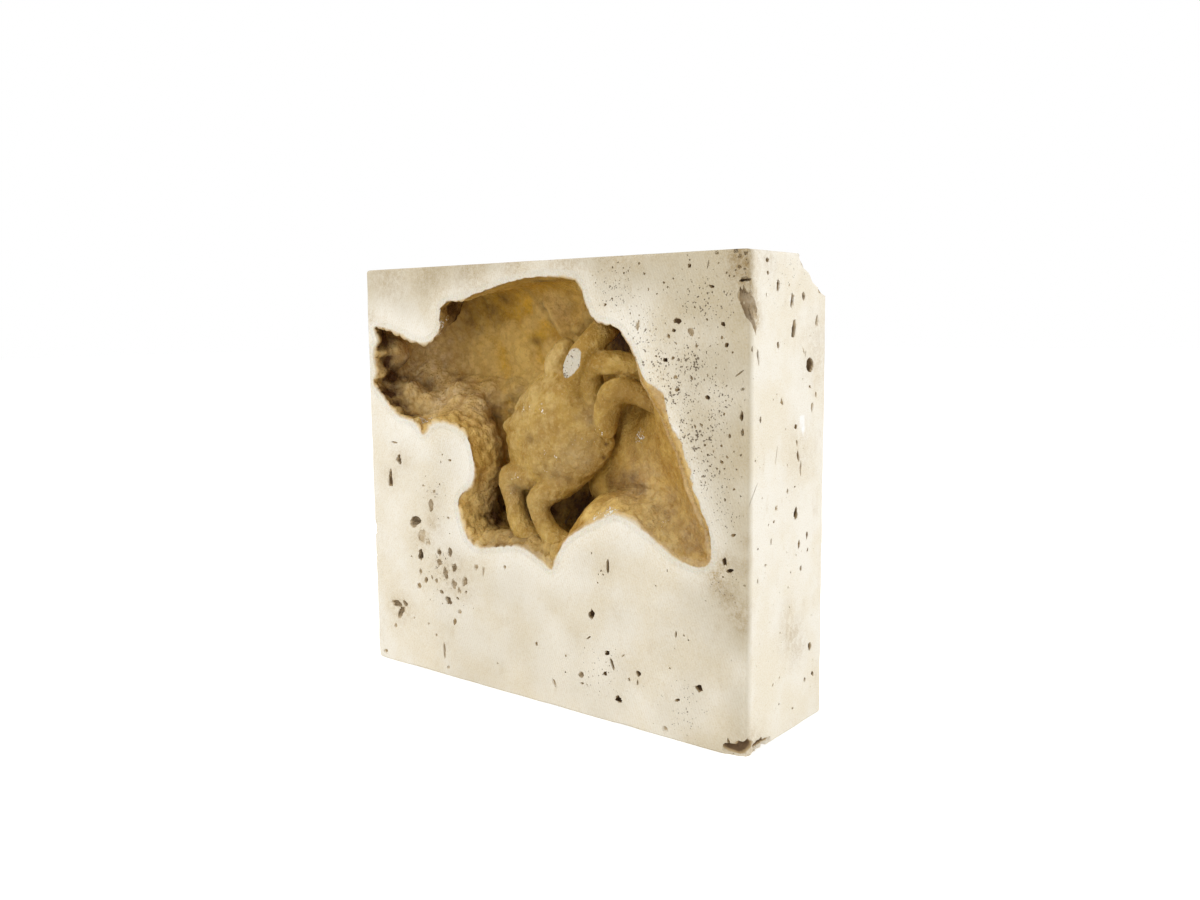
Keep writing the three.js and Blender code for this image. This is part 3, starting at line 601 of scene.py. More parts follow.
# Marks on the crab: [x, z, depth, radius, strength].
crabMarks = {
    # pale: partly paler crust and partly painted light on the lit claw and the left of the shell
    "pale": [
        [0.6, 73.5, 6.4, 3.4, 0.9], [1.6, 76.5, 5.4, 3.6, 1], [3, 79.6, 5.6, 3, 1], [-8, 68, 5, 5, 0.5],
        [-2, 70, 4.4, 4, 0.5], [3, 71, 3.6, 3.6, 0.4], [-8, 62, 4.6, 5, 0.35], [10.6, 81.5, 3, 3, 0.4],
        [17.4, 64.5, 2.4, 2.6, 0.4],
    ],
    # deep: painted shade on the lower leg in the rim's shadow, under the shell's lower edge, on the rear
    # leg and at the sawn leg's far end
    "deep": [
        [20.4, 70, 3.4, 3.6, 0.7], [21.6, 66.6, 4, 3.6, 1], [24.5, 71, 3, 3.6, 0.7],
        [29, 69.5, 4.6, 3.6, 0.7], [0.4, 41.5, 3.6, 2.6, 0.6], [9.6, 84.6, 4.4, 3, 0.4],
        [8.5, 52.5, 6, 3.4, 0.5], [-1, 45.4, 4.2, 2.6, 0.5],
    ],
    # stain: real dark specks, and painted shade along the shell's lower crease and on the lower leg
    "stain": [
        [22.2, 70.3, 0.8, 0.45, 0.9], [22.3, 69, 1.4, 0.5, 1], [21.4, 70, 0.9, 0.35, 0.7],
        [15.5, 59.9, 7.1, 0.5, 0.9], [14.5, 56.8, 7.5, 0.5, 0.9], [-2.8, 60.2, 3, 1.5, 0.45],
        [0.8, 54.3, 3.4, 1, 0.35], [3, 52.6, 3.8, 1.2, 0.4], [6.4, 51.4, 5, 1.2, 0.35],
        [-1.6, 53, 3.6, 1.4, 0.3], [-9.5, 47.8, 4.2, 1.2, 0.3], [20.4, 69.6, 3.4, 3.4, 0.2],
        [21.8, 66.4, 4.4, 3.4, 0.4], [24.5, 71, 3, 3.6, 0.3], [29, 69.5, 4.6, 3.8, 0.35],
        [0.6, 42, 3.8, 2.6, 0.15], [13, 61, 5, 5, 0.12], [9, 70, 3.6, 3, 0.1], [-0.8, 42.5, 4.4, 3.4, 0.15],
    ],
    "powder": [
        [0.1, 68.2, 2.8, 1.4, 0.5], [1.2, 66.8, 2.4, 1.1, 0.5], [-6, 66.9, 3.8, 1.5, 0.5],
        [-3.4, 67.6, 3.2, 1, 0.5], [9.5, 60.3, 3.6, 1, 0.5], [11.2, 60.3, 4.3, 1, 0.5],
        [12.9, 60.2, 5, 0.9, 0.5], [4.1, 56.7, 3.1, 0.9, 0.55], [1.5, 57.6, 2.7, 0.9, 0.5],
        [-8.1, 50.8, 3.6, 1.2, 0.5], [-10.4, 50.6, 3.8, 1.2, 0.45], [-10.4, 46.9, 3.3, 0.8, 0.5],
        [18, 62.4, 1.8, 1.6, 0.6], [16.4, 63.4, 2.6, 1.2, 0.5], [5.8, 71.6, 3, 1.4, 0.4],
        [0.8, 53, 3.4, 0.8, 0.5], [1.2, 41.5, 2, 0.8, 0.4], [-0.6, 74.6, 5.4, 1.4, 0.35],
    ],
    "dull": [
        [9, 57, 4.5, 4.5, 0.8], [4, 53.5, 4.5, 4, 0.6], [0, 60, 2.6, 6, 0.2], [-10, 48, 5, 4, 0.5],
        [-2, 45, 4, 4, 0.3], [13, 66, 5, 3, 0.6],
    ],
}


def makeShell():
    # rings at shares of the way from a pole to the margin, domed above it and bowled below it
    columns = np.arange(crabFacts["shellColumns"]) / crabFacts["shellColumns"] * len(shellMargin)
    margin = throughPoints(shellMargin, columns, True)
    above, below = crabFacts["shellRows"]
    rows = []
    for share in np.sin(np.linspace(0, np.pi / 2, above + 1))[1:]:
        rise = (1 - share ** 2) ** 0.72
        rows.append(shellRing(margin, shellCrown, share, rise))
    for share in np.cos(np.linspace(0, np.pi / 2, below + 1))[1:-1]:
        rows.append(shellRing(margin, shellUnderside, share, (1 - share ** 2) ** 0.5))
    return wrapGrid("shell", np.stack(rows), shellCrown, shellUnderside)


def shellRing(margin, pole, share, rise):
    # the margin drawn in towards the pole, and raised to it in depth
    ring = pole + (margin - pole) * share
    ring[:, 1] = margin[:, 1] + (pole[1] - margin[:, 1]) * rise
    return ring


def makeLimb(name, line):
    # a circle carried along a smooth line, its radius eased between the line's points
    line = np.array(line)
    at = np.linspace(0, len(line) - 1, crabFacts["limbRows"])
    path = throughPoints(np.column_stack([inBlock(line[:, :3]), line[:, 3]]), at, False)
    middle, radius = path[:, :3], path[:, 3]
    ahead = unit(np.gradient(middle, axis=0))
    side = unit(np.cross(ahead, [0.2, 1.0, 0.1]))
    over = np.cross(side, ahead)
    angle = np.arange(crabFacts["limbColumns"]) / crabFacts["limbColumns"] * 2 * np.pi
    ring = side[:, None] * np.cos(angle)[:, None] + over[:, None] * np.sin(angle)[:, None]
    rows = middle[:, None] + radius[:, None, None] * ring
    # round ends: circles of radius times cos(a), moved on by radius times sin(a)
    rise = np.radians([18, 36, 54, 72])[:, None, None]
    first = middle[0] - radius[0] * (ahead[0] * np.sin(rise) - ring[0] * np.cos(rise))
    last = middle[-1] + radius[-1] * (ahead[-1] * np.sin(rise) + ring[-1] * np.cos(rise))
    ends = [middle[0] - radius[0] * ahead[0], middle[-1] + radius[-1] * ahead[-1]]
    return wrapGrid(name, np.concatenate([first[::-1], rows, last]), *ends)


def makeCrab():
    # shell and limbs joined under one skin, softened, and given bumps and creases along the normals
    parts = [makeShell()] + [makeLimb(name, line) for name, line in limbs.items()]
    crab = joinPieces("crab", parts)
    remesh = crab.modifiers.new("one skin", 'REMESH')
    remesh.mode = 'VOXEL'
    remesh.voxel_size = crabFacts["grid"] * mm
    soften = crab.modifiers.new("soften", 'SMOOTH')
    soften.factor = 0.5
    soften.iterations = crabFacts["softening"]
    applyModifiers(crab)
    place = pointsOf(crab)
    relief = 0.6 * softNoise(place, 2.4, 31) + 0.45 * softNoise(place, 1.0, 32)
    relief += 0.7 * (bubbles(place, 1.4, 33) - 0.6)
    relief -= 1.6 * marks(place, crabCreases)
    place += normalsOf(crab) * (crabFacts["relief"] * relief)[:, None]
    place[:, 1] = np.maximum(place[:, 1], frontY + sawnGap)
    movePoints(crab, place)
    stain, powder, dull, pale, deep = [
        marks(place, crabMarks[kind]) for kind in ("stain", "powder", "dull", "pale", "deep")
    ]
    # painted light and shade: darker towards the right, away from the light, paler on bumps and darker in
    # creases, lighter by the pale marks and darker by the deep ones
    crestLightAndShade = 0.5 - 0.2 * smoothStep(-2, 14, place[:, 0]) + 0.28 * relief + 0.4 * pale - 0.45 * deep
    setMasks(crab, "masks", crestLightAndShade, stain, powder, dull)
    shadeSmooth(crab)
    return crab


# The sawn block.
blockFacts = {
    "spacing": 1.3,            # of the grid lines, and close to the edges
    "edgeSpacing": 0.3,
    "edgeBand": 1.5,           # how far the close lines reach
    "edgeRadius": 0.45,
    "wear": 0.35,              # added to the radius where the edge is worn
    "pitRoughness": 0.4,
    "pores": 1250,             # small ones strewn over the sawn face, beside the listed pits
    "otherPores": 150,         # the same on each other side
    "poreSize": (0.24, 0.55),  # the smallest, and how much more the largest has
    "largePore": (1.0, 2.2),   # the same for every sixth pore on the other sides
    "poreStretch": (0.6, 1.2),  # height over width: the least, and how much more the most has
    "poreDepth": 0.9,          # over width
    "poreLean": 40,            # spread in degrees
    "pitReach": 1.3,           # room kept round a pit, as a share of its half size
    "pitGap": 0.05,
    "cutRows": (0.12, 2.85, 9),    # first step, last step and count of the hollow's cut
    "cutSkin": 0.9,            # which runs this far behind the lining's face
    "cutGap": 0.6,             # and this far inside the block's left side
    "pitShade": (0.08, 0.8),   # painted shade: a pit darkens between these depths below its face,
    "edgeShade": 0.5,          # and this much deeper beside an edge
    "whiteReach": 3.5,         # the stone whitens this close to the crust
}

# Pits in the sawn face: [x, z, width, height, depth, lean in degrees].
frontPits = [
    [53.2, 96.6, 0.9, 0.6, 0.5, 10], [54.3, 96.2, 0.7, 0.5, 0.5, 0], [52.3, 96, 0.6, 0.5, 0.4, 0],
    [54.4, 99, 1.1, 1, 0.8, 0], [53.3, 98.6, 0.8, 0.9, 0.6, 20], [52, 94.9, 0.5, 0.5, 0.4, 0],
    [26, 96.4, 0.5, 0.6, 0.6, 0], [27.1, 96.8, 0.5, 0.7, 0.6, 0], [31.1, 96.1, 0.8, 0.6, 0.6, 20],
    [41.9, 97.2, 0.9, 0.9, 0.9, 0], [42, 98.4, 0.5, 0.5, 0.6, 0], [46.2, 97.3, 0.3, 1.6, 0.5, 12],
    [50.4, 95.6, 0.6, 0.7, 0.7, 0], [51, 95, 0.4, 0.5, 0.6, 0], [35.9, 94.2, 0.8, 0.7, 0.8, 20],
    [36.8, 93.3, 0.5, 0.6, 0.6, 0], [38.2, 94.9, 0.5, 0.5, 0.6, 0], [47.1, 93.1, 1.3, 0.8, 0.9, 25],
    [22.9, 91.3, 0.6, 0.5, 0.7, 0], [21, 90.1, 0.9, 0.7, 0.7, 0], [39.1, 86.6, 1.6, 1.3, 0.9, 20],
    [38.2, 84.7, 1, 0.8, 1, 0], [42.4, 84.4, 1.5, 2.2, 0.5, -25], [49.6, 85.9, 1.1, 1, 1.1, 0],
    [49.4, 83.4, 0.6, 0.8, 0.7, 0], [50.5, 81.9, 1, 1.2, 1, 0], [51.8, 80.5, 0.5, 0.5, 0.6, 0],
    [46, 86.8, 0.7, 0.5, 0.6, 0], [29.4, 85.6, 1.3, 2.2, 0.5, 10], [33.9, 79.6, 0.7, 0.6, 0.7, 0],
    [36.2, 78.9, 1.3, 0.9, 1.4, 0], [45.9, 80.5, 0.3, 0.7, 0.6, 0], [48.1, 77.5, 0.5, 0.5, 0.6, 0],
    [38.7, 75.5, 1.2, 0.9, 0.4, 0], [46.2, 71.7, 1.1, 1, 1.2, 0], [53.4, 76.6, 2.1, 0.3, 0.5, -35],
    [53.9, 68.4, 0.8, 2, 2, 0], [54.1, 65.2, 0.7, 1.4, 0.8, 0], [54, 73.5, 0.9, 0.8, 0.7, 0],
    [43.6, 64.1, 0.7, 0.5, 0.7, 0], [46.3, 60.4, 0.7, 0.7, 0.7, 0], [46.8, 58.2, 0.7, 0.5, 0.7, 0],
    [52.3, 54.1, 0.7, 0.6, 0.7, 0], [53.8, 52.9, 0.5, 0.5, 0.6, 0], [52.4, 99.6, 1.2, 0.9, 0.9, 0],
    [48.2, 99.5, 1, 0.8, 0.7, 0], [54.2, 94.2, 2.4, 0.8, 1.6, -8], [16.6, 23.4, 1.9, 1.9, 2.2, 0],
    [20.8, 15.4, 1.8, 1.1, 1.2, -25], [22.2, 13.2, 0.8, 2.9, 1.2, -22], [20.1, 10.6, 1.1, 1, 1, 0],
    [29.2, 12.5, 1.4, 1.3, 1.3, 0], [28.9, 10.5, 0.5, 1.3, 0.7, 0], [23.8, 5.6, 2.3, 1.5, 1.8, -15],
    [44.3, 12.5, 1.8, 1.7, 1.9, 0], [21.2, 34.5, 0.8, 3.1, 1.7, 0], [19.3, 33.4, 0.6, 0.6, 0.6, 0],
    [19.9, 32.6, 0.5, 0.5, 0.6, 0], [18.6, 32.5, 0.4, 0.4, 0.5, 0], [13.4, 9, 1.6, 1.6, 0.7, 15],
    [13.7, 7.1, 0.9, 0.5, 0.6, 0], [15.1, 7.1, 0.6, 0.5, 0.6, 0], [38.7, 22.9, 0.5, 1.7, 0.8, 0],
    [40.7, 22.9, 0.6, 0.5, 0.6, 0], [41.8, 22.1, 0.5, 0.4, 0.5, 0], [39.1, 8.8, 1.4, 0.8, 0.9, -20],
    [50.2, 39.5, 1.1, 2, 1.5, -15], [51.5, 37.9, 1.6, 0.9, 1.5, -20], [49.9, 36.4, 0.6, 0.5, 0.6, 0],
    [33.7, 32.2, 0.5, 0.4, 0.5, 0], [36.6, 35.8, 0.4, 0.9, 0.5, 0], [9.1, 12.5, 0.7, 0.8, 0.6, 0],
    [15.7, 17.9, 1.5, 0.4, 0.5, -35], [25.1, 15.6, 1.2, 0.4, 0.4, -35], [9, 8.7, 0.6, 0.5, 0.6, 0],
    [37.2, 15.3, 0.7, 0.5, 0.6, 0], [36, 1.9, 1.5, 1.5, 0.7, 0], [51.3, 3.1, 0.6, 1.2, 0.8, -20],
    [16.8, 36.9, 0.5, 0.5, 0.6, 0], [18.4, 30.6, 0.5, 0.5, 0.6, 0], [-44.7, 52.9, 1.8, 2.5, 1.8, 15],
    [-48.1, 48, 1.5, 4.8, 1.1, 5], [-46.1, 57.1, 2.4, 0.6, 0.4, 8], [-26.5, 54, 1, 0.9, 0.6, 0],
    [-29, 55.2, 0.7, 0.6, 0.4, 0], [-29.6, 53.4, 0.6, 0.7, 0.4, 0], [-33.4, 42.6, 1.8, 3.6, 0.7, 5],
    [-32.2, 45.9, 1, 1.2, 0.5, 0], [-36.1, 47, 0.9, 0.7, 0.4, 0], [-39.4, 37.6, 3.6, 2.8, 2.4, -15],
    [-37, 34.4, 2.8, 3.6, 0.5, 20], [-34.9, 33.2, 1.6, 2.4, 0.6, 10], [-37.7, 29.5, 2.2, 2.6, 2.4, 20],
    [-30.9, 31, 1.6, 1.8, 1, 0], [-27.3, 31.3, 1.8, 2.4, 1, 0], [-31.1, 28.4, 1.8, 1.8, 1, 0],
    [-26, 27.7, 1.8, 2.4, 1.1, 0], [-28.9, 25.9, 2, 3.2, 1, 10], [-26, 23.6, 1.9, 2.4, 0.7, 0],
    [-22.3, 24.9, 1.8, 2.4, 0.8, 15], [-24.3, 22.4, 1.2, 1.6, 0.6, 0], [-35.9, 23.3, 1.4, 1.8, 0.7, 15],
    [-38.7, 21.3, 1.4, 1.9, 0.7, 20], [-37.9, 25.2, 1, 1.8, 0.5, 0], [-32.3, 23.6, 1.2, 1.2, 0.6, 0],
    [-30.6, 21, 1.4, 1.2, 0.6, 0], [-28.3, 19.3, 2.3, 2.3, 1.1, -20], [-26.2, 14.2, 1.2, 1.8, 0.5, 15],
    [-24.3, 17, 1.5, 1, 0.5, -20], [-18.5, 29, 1.1, 1.8, 0.7, 20], [-16.1, 28.3, 0.8, 2.3, 0.5, 5],
    [-9.1, 30.2, 0.9, 1.3, 0.5, 0], [-47.4, 15.5, 3.4, 1.8, 1.1, 5], [-45.7, 13.6, 2, 3.4, 1.1, 20],
    [-44.1, 15.9, 2, 1.3, 0.8, 30], [-48.1, 9.5, 1.1, 1.6, 0.5, 15], [-52.2, 1.9, 1.4, 1.2, 0.5, 0],
    [-30.1, 6.2, 0.9, 3.4, 0.7, -3], [-32.9, 9.7, 0.9, 1, 0.4, 0], [-12, 6.6, 0.7, 0.6, 0.4, 0],
    [0.4, 13.6, 0.9, 1.3, 0.6, 0], [5.5, 5.6, 0.8, 2.2, 0.6, -30], [-28.9, 2.2, 1, 1, 0.4, 0],
    [-35.6, 12.2, 0.8, 0.7, 0.4, 0], [-40.8, 12.8, 0.8, 0.7, 0.4, 0],
]

# Pits in the right side: [y, z, width, height, depth, lean].
sidePits = [
    [-9, 98.1, 1.5, 1, 1, 0], [-8.9, 95.6, 1, 0.9, 0.8, 0], [-4.7, 93.2, 1.4, 2.2, 1.2, 20],
    [1.3, 90.4, 1.6, 3.3, 1.6, 5], [1.9, 84.8, 1.9, 4.6, 2.2, 14], [-4.4, 81.8, 1, 1.5, 0.9, 0],
    [9.4, 77.1, 3.2, 2.4, 2.2, 40], [-12.3, 79.2, 0.8, 3.5, 1, -8], [-14.6, 81.2, 0.8, 1.2, 0.7, 0],
    [-11.1, 67.3, 0.9, 1.4, 0.8, 0], [3.4, 64.8, 1.3, 1.2, 0.9, 0], [4, 61.4, 0.9, 1.6, 0.8, -20],
    [4.7, 58.9, 1, 2.6, 0.8, -22], [5.8, 55.8, 0.8, 2.8, 0.7, -4], [-2.6, 70.4, 1.5, 1.8, 0.6, 0],
    [-4.6, 60, 0.35, 3.6, 0.5, 14], [-14.2, 52.4, 0.35, 5.4, 0.5, 38], [12.2, 86.3, 1.3, 2.4, 0.8, 10],
    [-13, 59.5, 0.8, 0.6, 0.7, 0], [3.4, 52.3, 0.7, 0.6, 0.6, 0], [0.2, 51.8, 0.8, 1.1, 0.7, 20],
    [-4.4, 49, 1, 1.1, 0.7, 0], [5.6, 39.7, 1, 1.6, 0.9, 0], [6.6, 34.5, 1.1, 1.3, 0.8, 0],
    [-8.7, 38, 1, 0.6, 0.6, 0], [-11.8, 41.8, 0.8, 0.6, 0.7, 0], [-11.7, 35.3, 0.7, 1.1, 0.6, 0],
    [-6.4, 42.5, 0.8, 1.4, 0.7, 0], [-5.3, 46.3, 0.9, 0.7, 0.6, 0], [6.4, 80.2, 1.6, 0.4, 0.5, 60],
    [7.3, 79.6, 0.4, 1.5, 0.5, 10], [-0.9, 64.6, 0.6, 0.6, 0.5, 0], [10.6, 68.4, 1.2, 2, 0.6, 0],
    [12.3, 70.8, 0.9, 1.4, 0.6, 0], [9, 9.4, 1, 1.2, 0.7, 0], [-2.4, 13, 0.7, 0.7, 0.5, 0],
    [3.6, 4.6, 0.9, 0.6, 0.6, 0],
]

# Broken corners and worn edges: lumps taken out as [centre, half sizes, turn about the vertical, tilt].
chips = [
    [[57.4, frontY - 1.6, -0.6], [8.2, 5.2, 4.4], 0.5, 0],
    [[57.2, frontY + 5.4, -1.2], [4, 5.6, 3.8], 0.2, 0],
    [[56.6, frontY - 1.7, 14], [2.6, 2.6, 15], 0, 0],
    [[56.4, frontY - 1.2, 33], [2, 1.9, 8], 0, 0],
    [[blockHigh[0] + 0.6, blockHigh[1] - 0.6, 97.3], [5, 28, 17], 0.666, 0.66],
    [[-56.2, frontY - 1, 34], [2.2, 2, 3.4], 0.4, 0],
    [[-55.9, frontY - 0.8, 26.5], [1.6, 1.6, 1.8], 0.2, 0],
    [[56.3, frontY - 1.4, 97], [3, 2.4, 5.4], 0, 0],
    [[blockHigh[0] - 0.4, frontY + 1.4, 89.2], [4.8, 1.3, 1.6], 1.2, -1.09],
]

# Where small pores gather on the sawn face: [x, z, spread, share of all].
poreFields = [
    [30, 84, 4, 0.08], [33, 78, 4.5, 0.10], [38, 71.5, 4.5, 0.13], [42.5, 78, 5, 0.10],
    [43.5, 64, 4.5, 0.15], [47, 56.5, 4, 0.11], [49, 71, 4, 0.08], [50.5, 48, 3, 0.04], [24, 93, 5, 0.05],
    [46, 90, 6, 0.06], [50.5, 35, 3, 0.02], [-30, 26, 6, 0.03], [-31, 44, 4, 0.02], [19, 11, 6, 0.015],
    [41, 8, 6, 0.015],
]
poreShares = np.array([row[3] for row in poreFields]) / sum(row[3] for row in poreFields)

# Marks on the stone, filled pits, brown stains and white crystals: [x, z, depth, radius, strength].
stoneMarks = {
    "filled": [
        [54, 96, 31, 15, 1], [46, 98, 34, 8, 1], [-36, 35, 0, 8, 0.8], [-28, 26, 0, 7.5, 0.8],
        [-46, 14, 0, 4.5, 0.6], [-33, 43.5, 0, 4, 0.8], [-45.5, 52, 0, 4.5, 0.5], [-18, 29, 0, 4.5, 0.6],
        [55.4, 91, 2.6, 3.4, 0.9], [55.4, 87, 4, 3.4, 0.9], [54.5, 97, 0.5, 3.6, 0.5], [-30, 8, 0, 5, 0.6],
        [30, 86, 0, 2, 0.6], [42.5, 84.5, 0, 2, 0.6], [14, 8.5, 0, 2.2, 0.6], [36, 1.9, 0, 2, 0.6],
        [55.4, 82, 17, 8, 0.3],
    ],
    "stain": [
        [46.8, 38.3, 0, 2, 0.7], [48.2, 36.4, 0, 2.2, 0.75], [49.8, 34.2, 0, 2.3, 0.7],
        [51.4, 32, 0, 2.3, 0.7], [53, 29.8, 0, 2.2, 0.75], [54.2, 27.4, 0, 1.8, 0.7],
        [50.4, 39, 0, 2.4, 0.7], [55, 44, 0, 1.6, 0.4], [55, 39, 0, 1.8, 0.4], [53.6, 97.8, 0, 3.4, 0.95],
        [54.6, 94, 0.6, 2.4, 0.8], [55.4, 91, 2.6, 2, 0.7], [55, 89.2, 1.8, 2.2, 1],
        [55.4, 86.6, 3.4, 1.6, 0.9], [55, 98.5, 8, 3.4, 0.3], [55, 21, 19, 4.5, 0.5],
        [55, 17, 22, 3.6, 0.4], [55, 26, 17, 3, 0.3], [-37, 34, 0, 4.5, 0.4], [-28, 26, 0, 6, 0.35],
        [-46, 14.5, 0, 4.5, 0.45], [-44.5, 53, 0, 3.2, 0.4], [-48, 48, 0, 3.2, 0.4],
        [-33, 43.5, 0, 3.4, 0.3], [-33, 38, 0, 3, 0.5], [-24, 23, 0, 4, 0.35], [-46, 98.5, 0, 7, 0.45],
        [-32, 98.5, 0, 7, 0.45], [-18, 99.5, 0, 7, 0.5], [-4, 100, 0, 6, 0.5], [10, 100, 0, 6, 0.45],
        [24, 100, 0, 6, 0.35], [-54, 88, 0, 2.2, 0.6], [26, 15, 0, 4, 0.12], [21, 34, 0, 2, 0.3],
        [55, 60, 22, 7, 0.2], [55, 80, 30, 8, 0.3], [55, 2, 3, 4, 0.5], [40, 74, 0, 8, 0.12],
        [45, 62, 0, 7, 0.15],
    ],
    "powder": [
        [55, 66, 22.6, 1.8, 1], [55, 64.2, 23, 1.5, 1], [55, 90.5, 17.5, 1.6, 0.8], [33, 72, 0, 3, 0.7],
        [38, 64.5, 0, 3, 0.7], [42, 56, 0, 3, 0.7], [24, 47.5, 0, 3, 0.6], [14, 41, 0, 3.5, 0.6],
        [-28, 58, 0, 5, 0.5], [-33, 84, 0, 3.5, 0.5], [32, 85, 0, 3.5, 0.5], [-10, 32, 0, 4, 0.5],
    ],
}

# The faces of the block, each with its directions across, up and inwards.
blockSides = {
    "front": [[1, 0, 0], [0, 0, 1], [0, 1, 0]],
    "right": [[0, 1, 0], [0, 0, 1], [-1, 0, 0]],
    "left": [[0, 1, 0], [0, 0, 1], [1, 0, 0]],
    "back": [[1, 0, 0], [0, 0, 1], [0, -1, 0]],
    "top": [[1, 0, 0], [0, 1, 0], [0, 0, -1]],
}


def edgeLines(low, high):
    # grid lines close together at both edges and evenly spaced between them
    band = blockFacts["edgeBand"]
    close = np.arange(0, band, blockFacts["edgeSpacing"])
    middle = np.linspace(low + band, high - band, int((high - low - 2 * band) / blockFacts["spacing"]))
    return np.concatenate([low + close, middle, high - close[::-1]])


def makeBody():
    # six grids merged into a box, then each point held within its edge radius of the inner box
    lines = [edgeLines(blockLow[axis], blockHigh[axis]) for axis in range(3)]
    points = []
    faces = []
    for axis in range(3):
        across, up = [k for k in range(3) if k != axis]
        for level in (blockLow[axis], blockHigh[axis]):
            a, b = np.meshgrid(lines[across], lines[up], indexing='ij')
            grid = np.zeros(a.shape + (3,))
            grid[..., across], grid[..., up], grid[..., axis] = a, b, level
            here = np.arange(a.size).reshape(a.shape) + sum(len(p) for p in points)
            quads = np.stack([here[:-1, :-1], here[1:, :-1], here[1:, 1:], here[:-1, 1:]], axis=-1)
            points.append(grid.reshape(-1, 3))
            faces += quads.reshape(-1, 4).tolist()
    body = outwards(meshObject("block", np.vstack(points), faces), 0.01)
    place = pointsOf(body)
    radius = blockFacts["edgeRadius"] + blockFacts["wear"] * np.clip(softNoise(place, 5.0, 41) + 0.3, 0, 1)
    inner = blockHalf - radius[:, None]
    offset = place - blockMiddle
    held = np.clip(offset, -inner, inner)
    over = offset - held
    length = np.maximum(np.linalg.norm(over, axis=1), 1e-9)
    movePoints(body, blockMiddle + held + over / length[:, None] * np.minimum(length, radius)[:, None])
    return body


def makeHollowTool():
    # the hollow, let out to run inside the lining's thickness, and carried out past the sawn face
    facts = blockFacts
    stations = np.arange(300) / 300 * len(mouth)
    rows = [outFromMouth(stations, lipWidth(stations) - 0.05) + [0, lead, 0] for lead in (-4, 0)]
    walls = behindWalls(stations, np.linspace(*facts["cutRows"]), facts["cutSkin"])
    rows = np.stack(rows + list(walls))
    rows[..., 0] = np.maximum(rows[..., 0], blockLow[0] + facts["cutGap"])
    return wrapGrid("hollowTool", rows, rows[0].mean(axis=0), deepestPoint + [0, facts["cutSkin"], 0])


def makeBall(level):
    # the points and faces of a unit icosphere
    ball = bmesh.new()
    bmesh.ops.create_icosphere(ball, subdivisions=level, radius=1.0)
    mesh = bpy.data.meshes.new("ball")
    ball.to_mesh(mesh)
    ball.free()
    points = np.empty(3 * len(mesh.vertices))
    faces = np.empty(len(mesh.loops), dtype=np.int32)
    mesh.vertices.foreach_get("co", points)
    mesh.loops.foreach_get("vertex_index", faces)
    bpy.data.meshes.remove(mesh)
    return points.reshape(-1, 3), faces.reshape(-1, 3)


balls = {level: makeBall(level) for level in range(1, 6)}


def lumpPoints(centre, halfSizes, axes, lean, level, seed):
    # the ball times the half sizes times 1 + noise, leaned in its own face, along the face's three axes
    ball = balls[level][0]
    swell = softNoise(ball * 1.3 + seed * 7.7, 1.0, 51) + 0.5 * softNoise(ball * 3.1 + seed * 3.3, 1.0, 52)
    swell += 0.35 * softNoise(ball * 6.3 + seed * 5.1, 1.0, 56)
    local = ball * (1 + blockFacts["pitRoughness"] * swell)[:, None] * np.asarray(halfSizes)
    turn = np.radians(lean)
    across = local[:, 0] * np.cos(turn) + local[:, 1] * np.sin(turn)
    up = local[:, 1] * np.cos(turn) - local[:, 0] * np.sin(turn)
    return centre + np.stack([across, up, local[:, 2]], axis=1) @ np.asarray(axes, dtype=float)


def pitRows(side, rows):
    # each pit as its centre on the face, half sizes, axes and lean
    axes = np.array(blockSides[side], dtype=float)
    level = np.where(axes[2] > 0, blockLow, blockHigh) * np.abs(axes[2])
    made = []
    for across, up, width, height, depth, lean in rows:
        made.append((level + across * axes[0] + up * axes[1], (width / 2, height / 2, depth), axes, lean))
    return made


def strewnPits(side, count, seed):
    # small pores: round their fields on the sawn face, elsewhere evenly with a few large ones
    dice = np.random.default_rng(seed)
    rows = []
    for number in range(count):
        least, more = blockFacts["poreSize"]
        size = least + more * dice.random() ** 4
        if side == "front":
            x, z, spread, _ = poreFields[dice.choice(len(poreFields), p=poreShares)]
            across, up = dice.normal([x, z], spread)
        else:
            axes = np.abs(np.array(blockSides[side]))
            across, up = [dice.uniform(blockLow @ axis + 2, blockHigh @ axis - 2) for axis in axes[:2]]
            if number % 6 == 0:
                least, more = blockFacts["largePore"]
                size = least + more * dice.random() ** 2
        least, more = blockFacts["poreStretch"]
        stretch = least + more * dice.random()
        depth = size * blockFacts["poreDepth"]
        rows.append([across, up, size, size * stretch, depth, blockFacts["poreLean"] * dice.normal()])
    return pitRows(side, rows)


def isFree(centre, axes, reach, rim):
    # whether a strewn pit's centre is on the block and, on the sawn face, clear of the mouth
    free = (np.abs(centre - blockMiddle) <= blockHalf + 0.01).all()
    if axes[2][1] > 0:
        free = free and np.linalg.norm(rim - centre, axis=1).min() > 1.9 * liningFacts["lip"] + reach
        free = free and not insideLine(rim, centre)
    return free


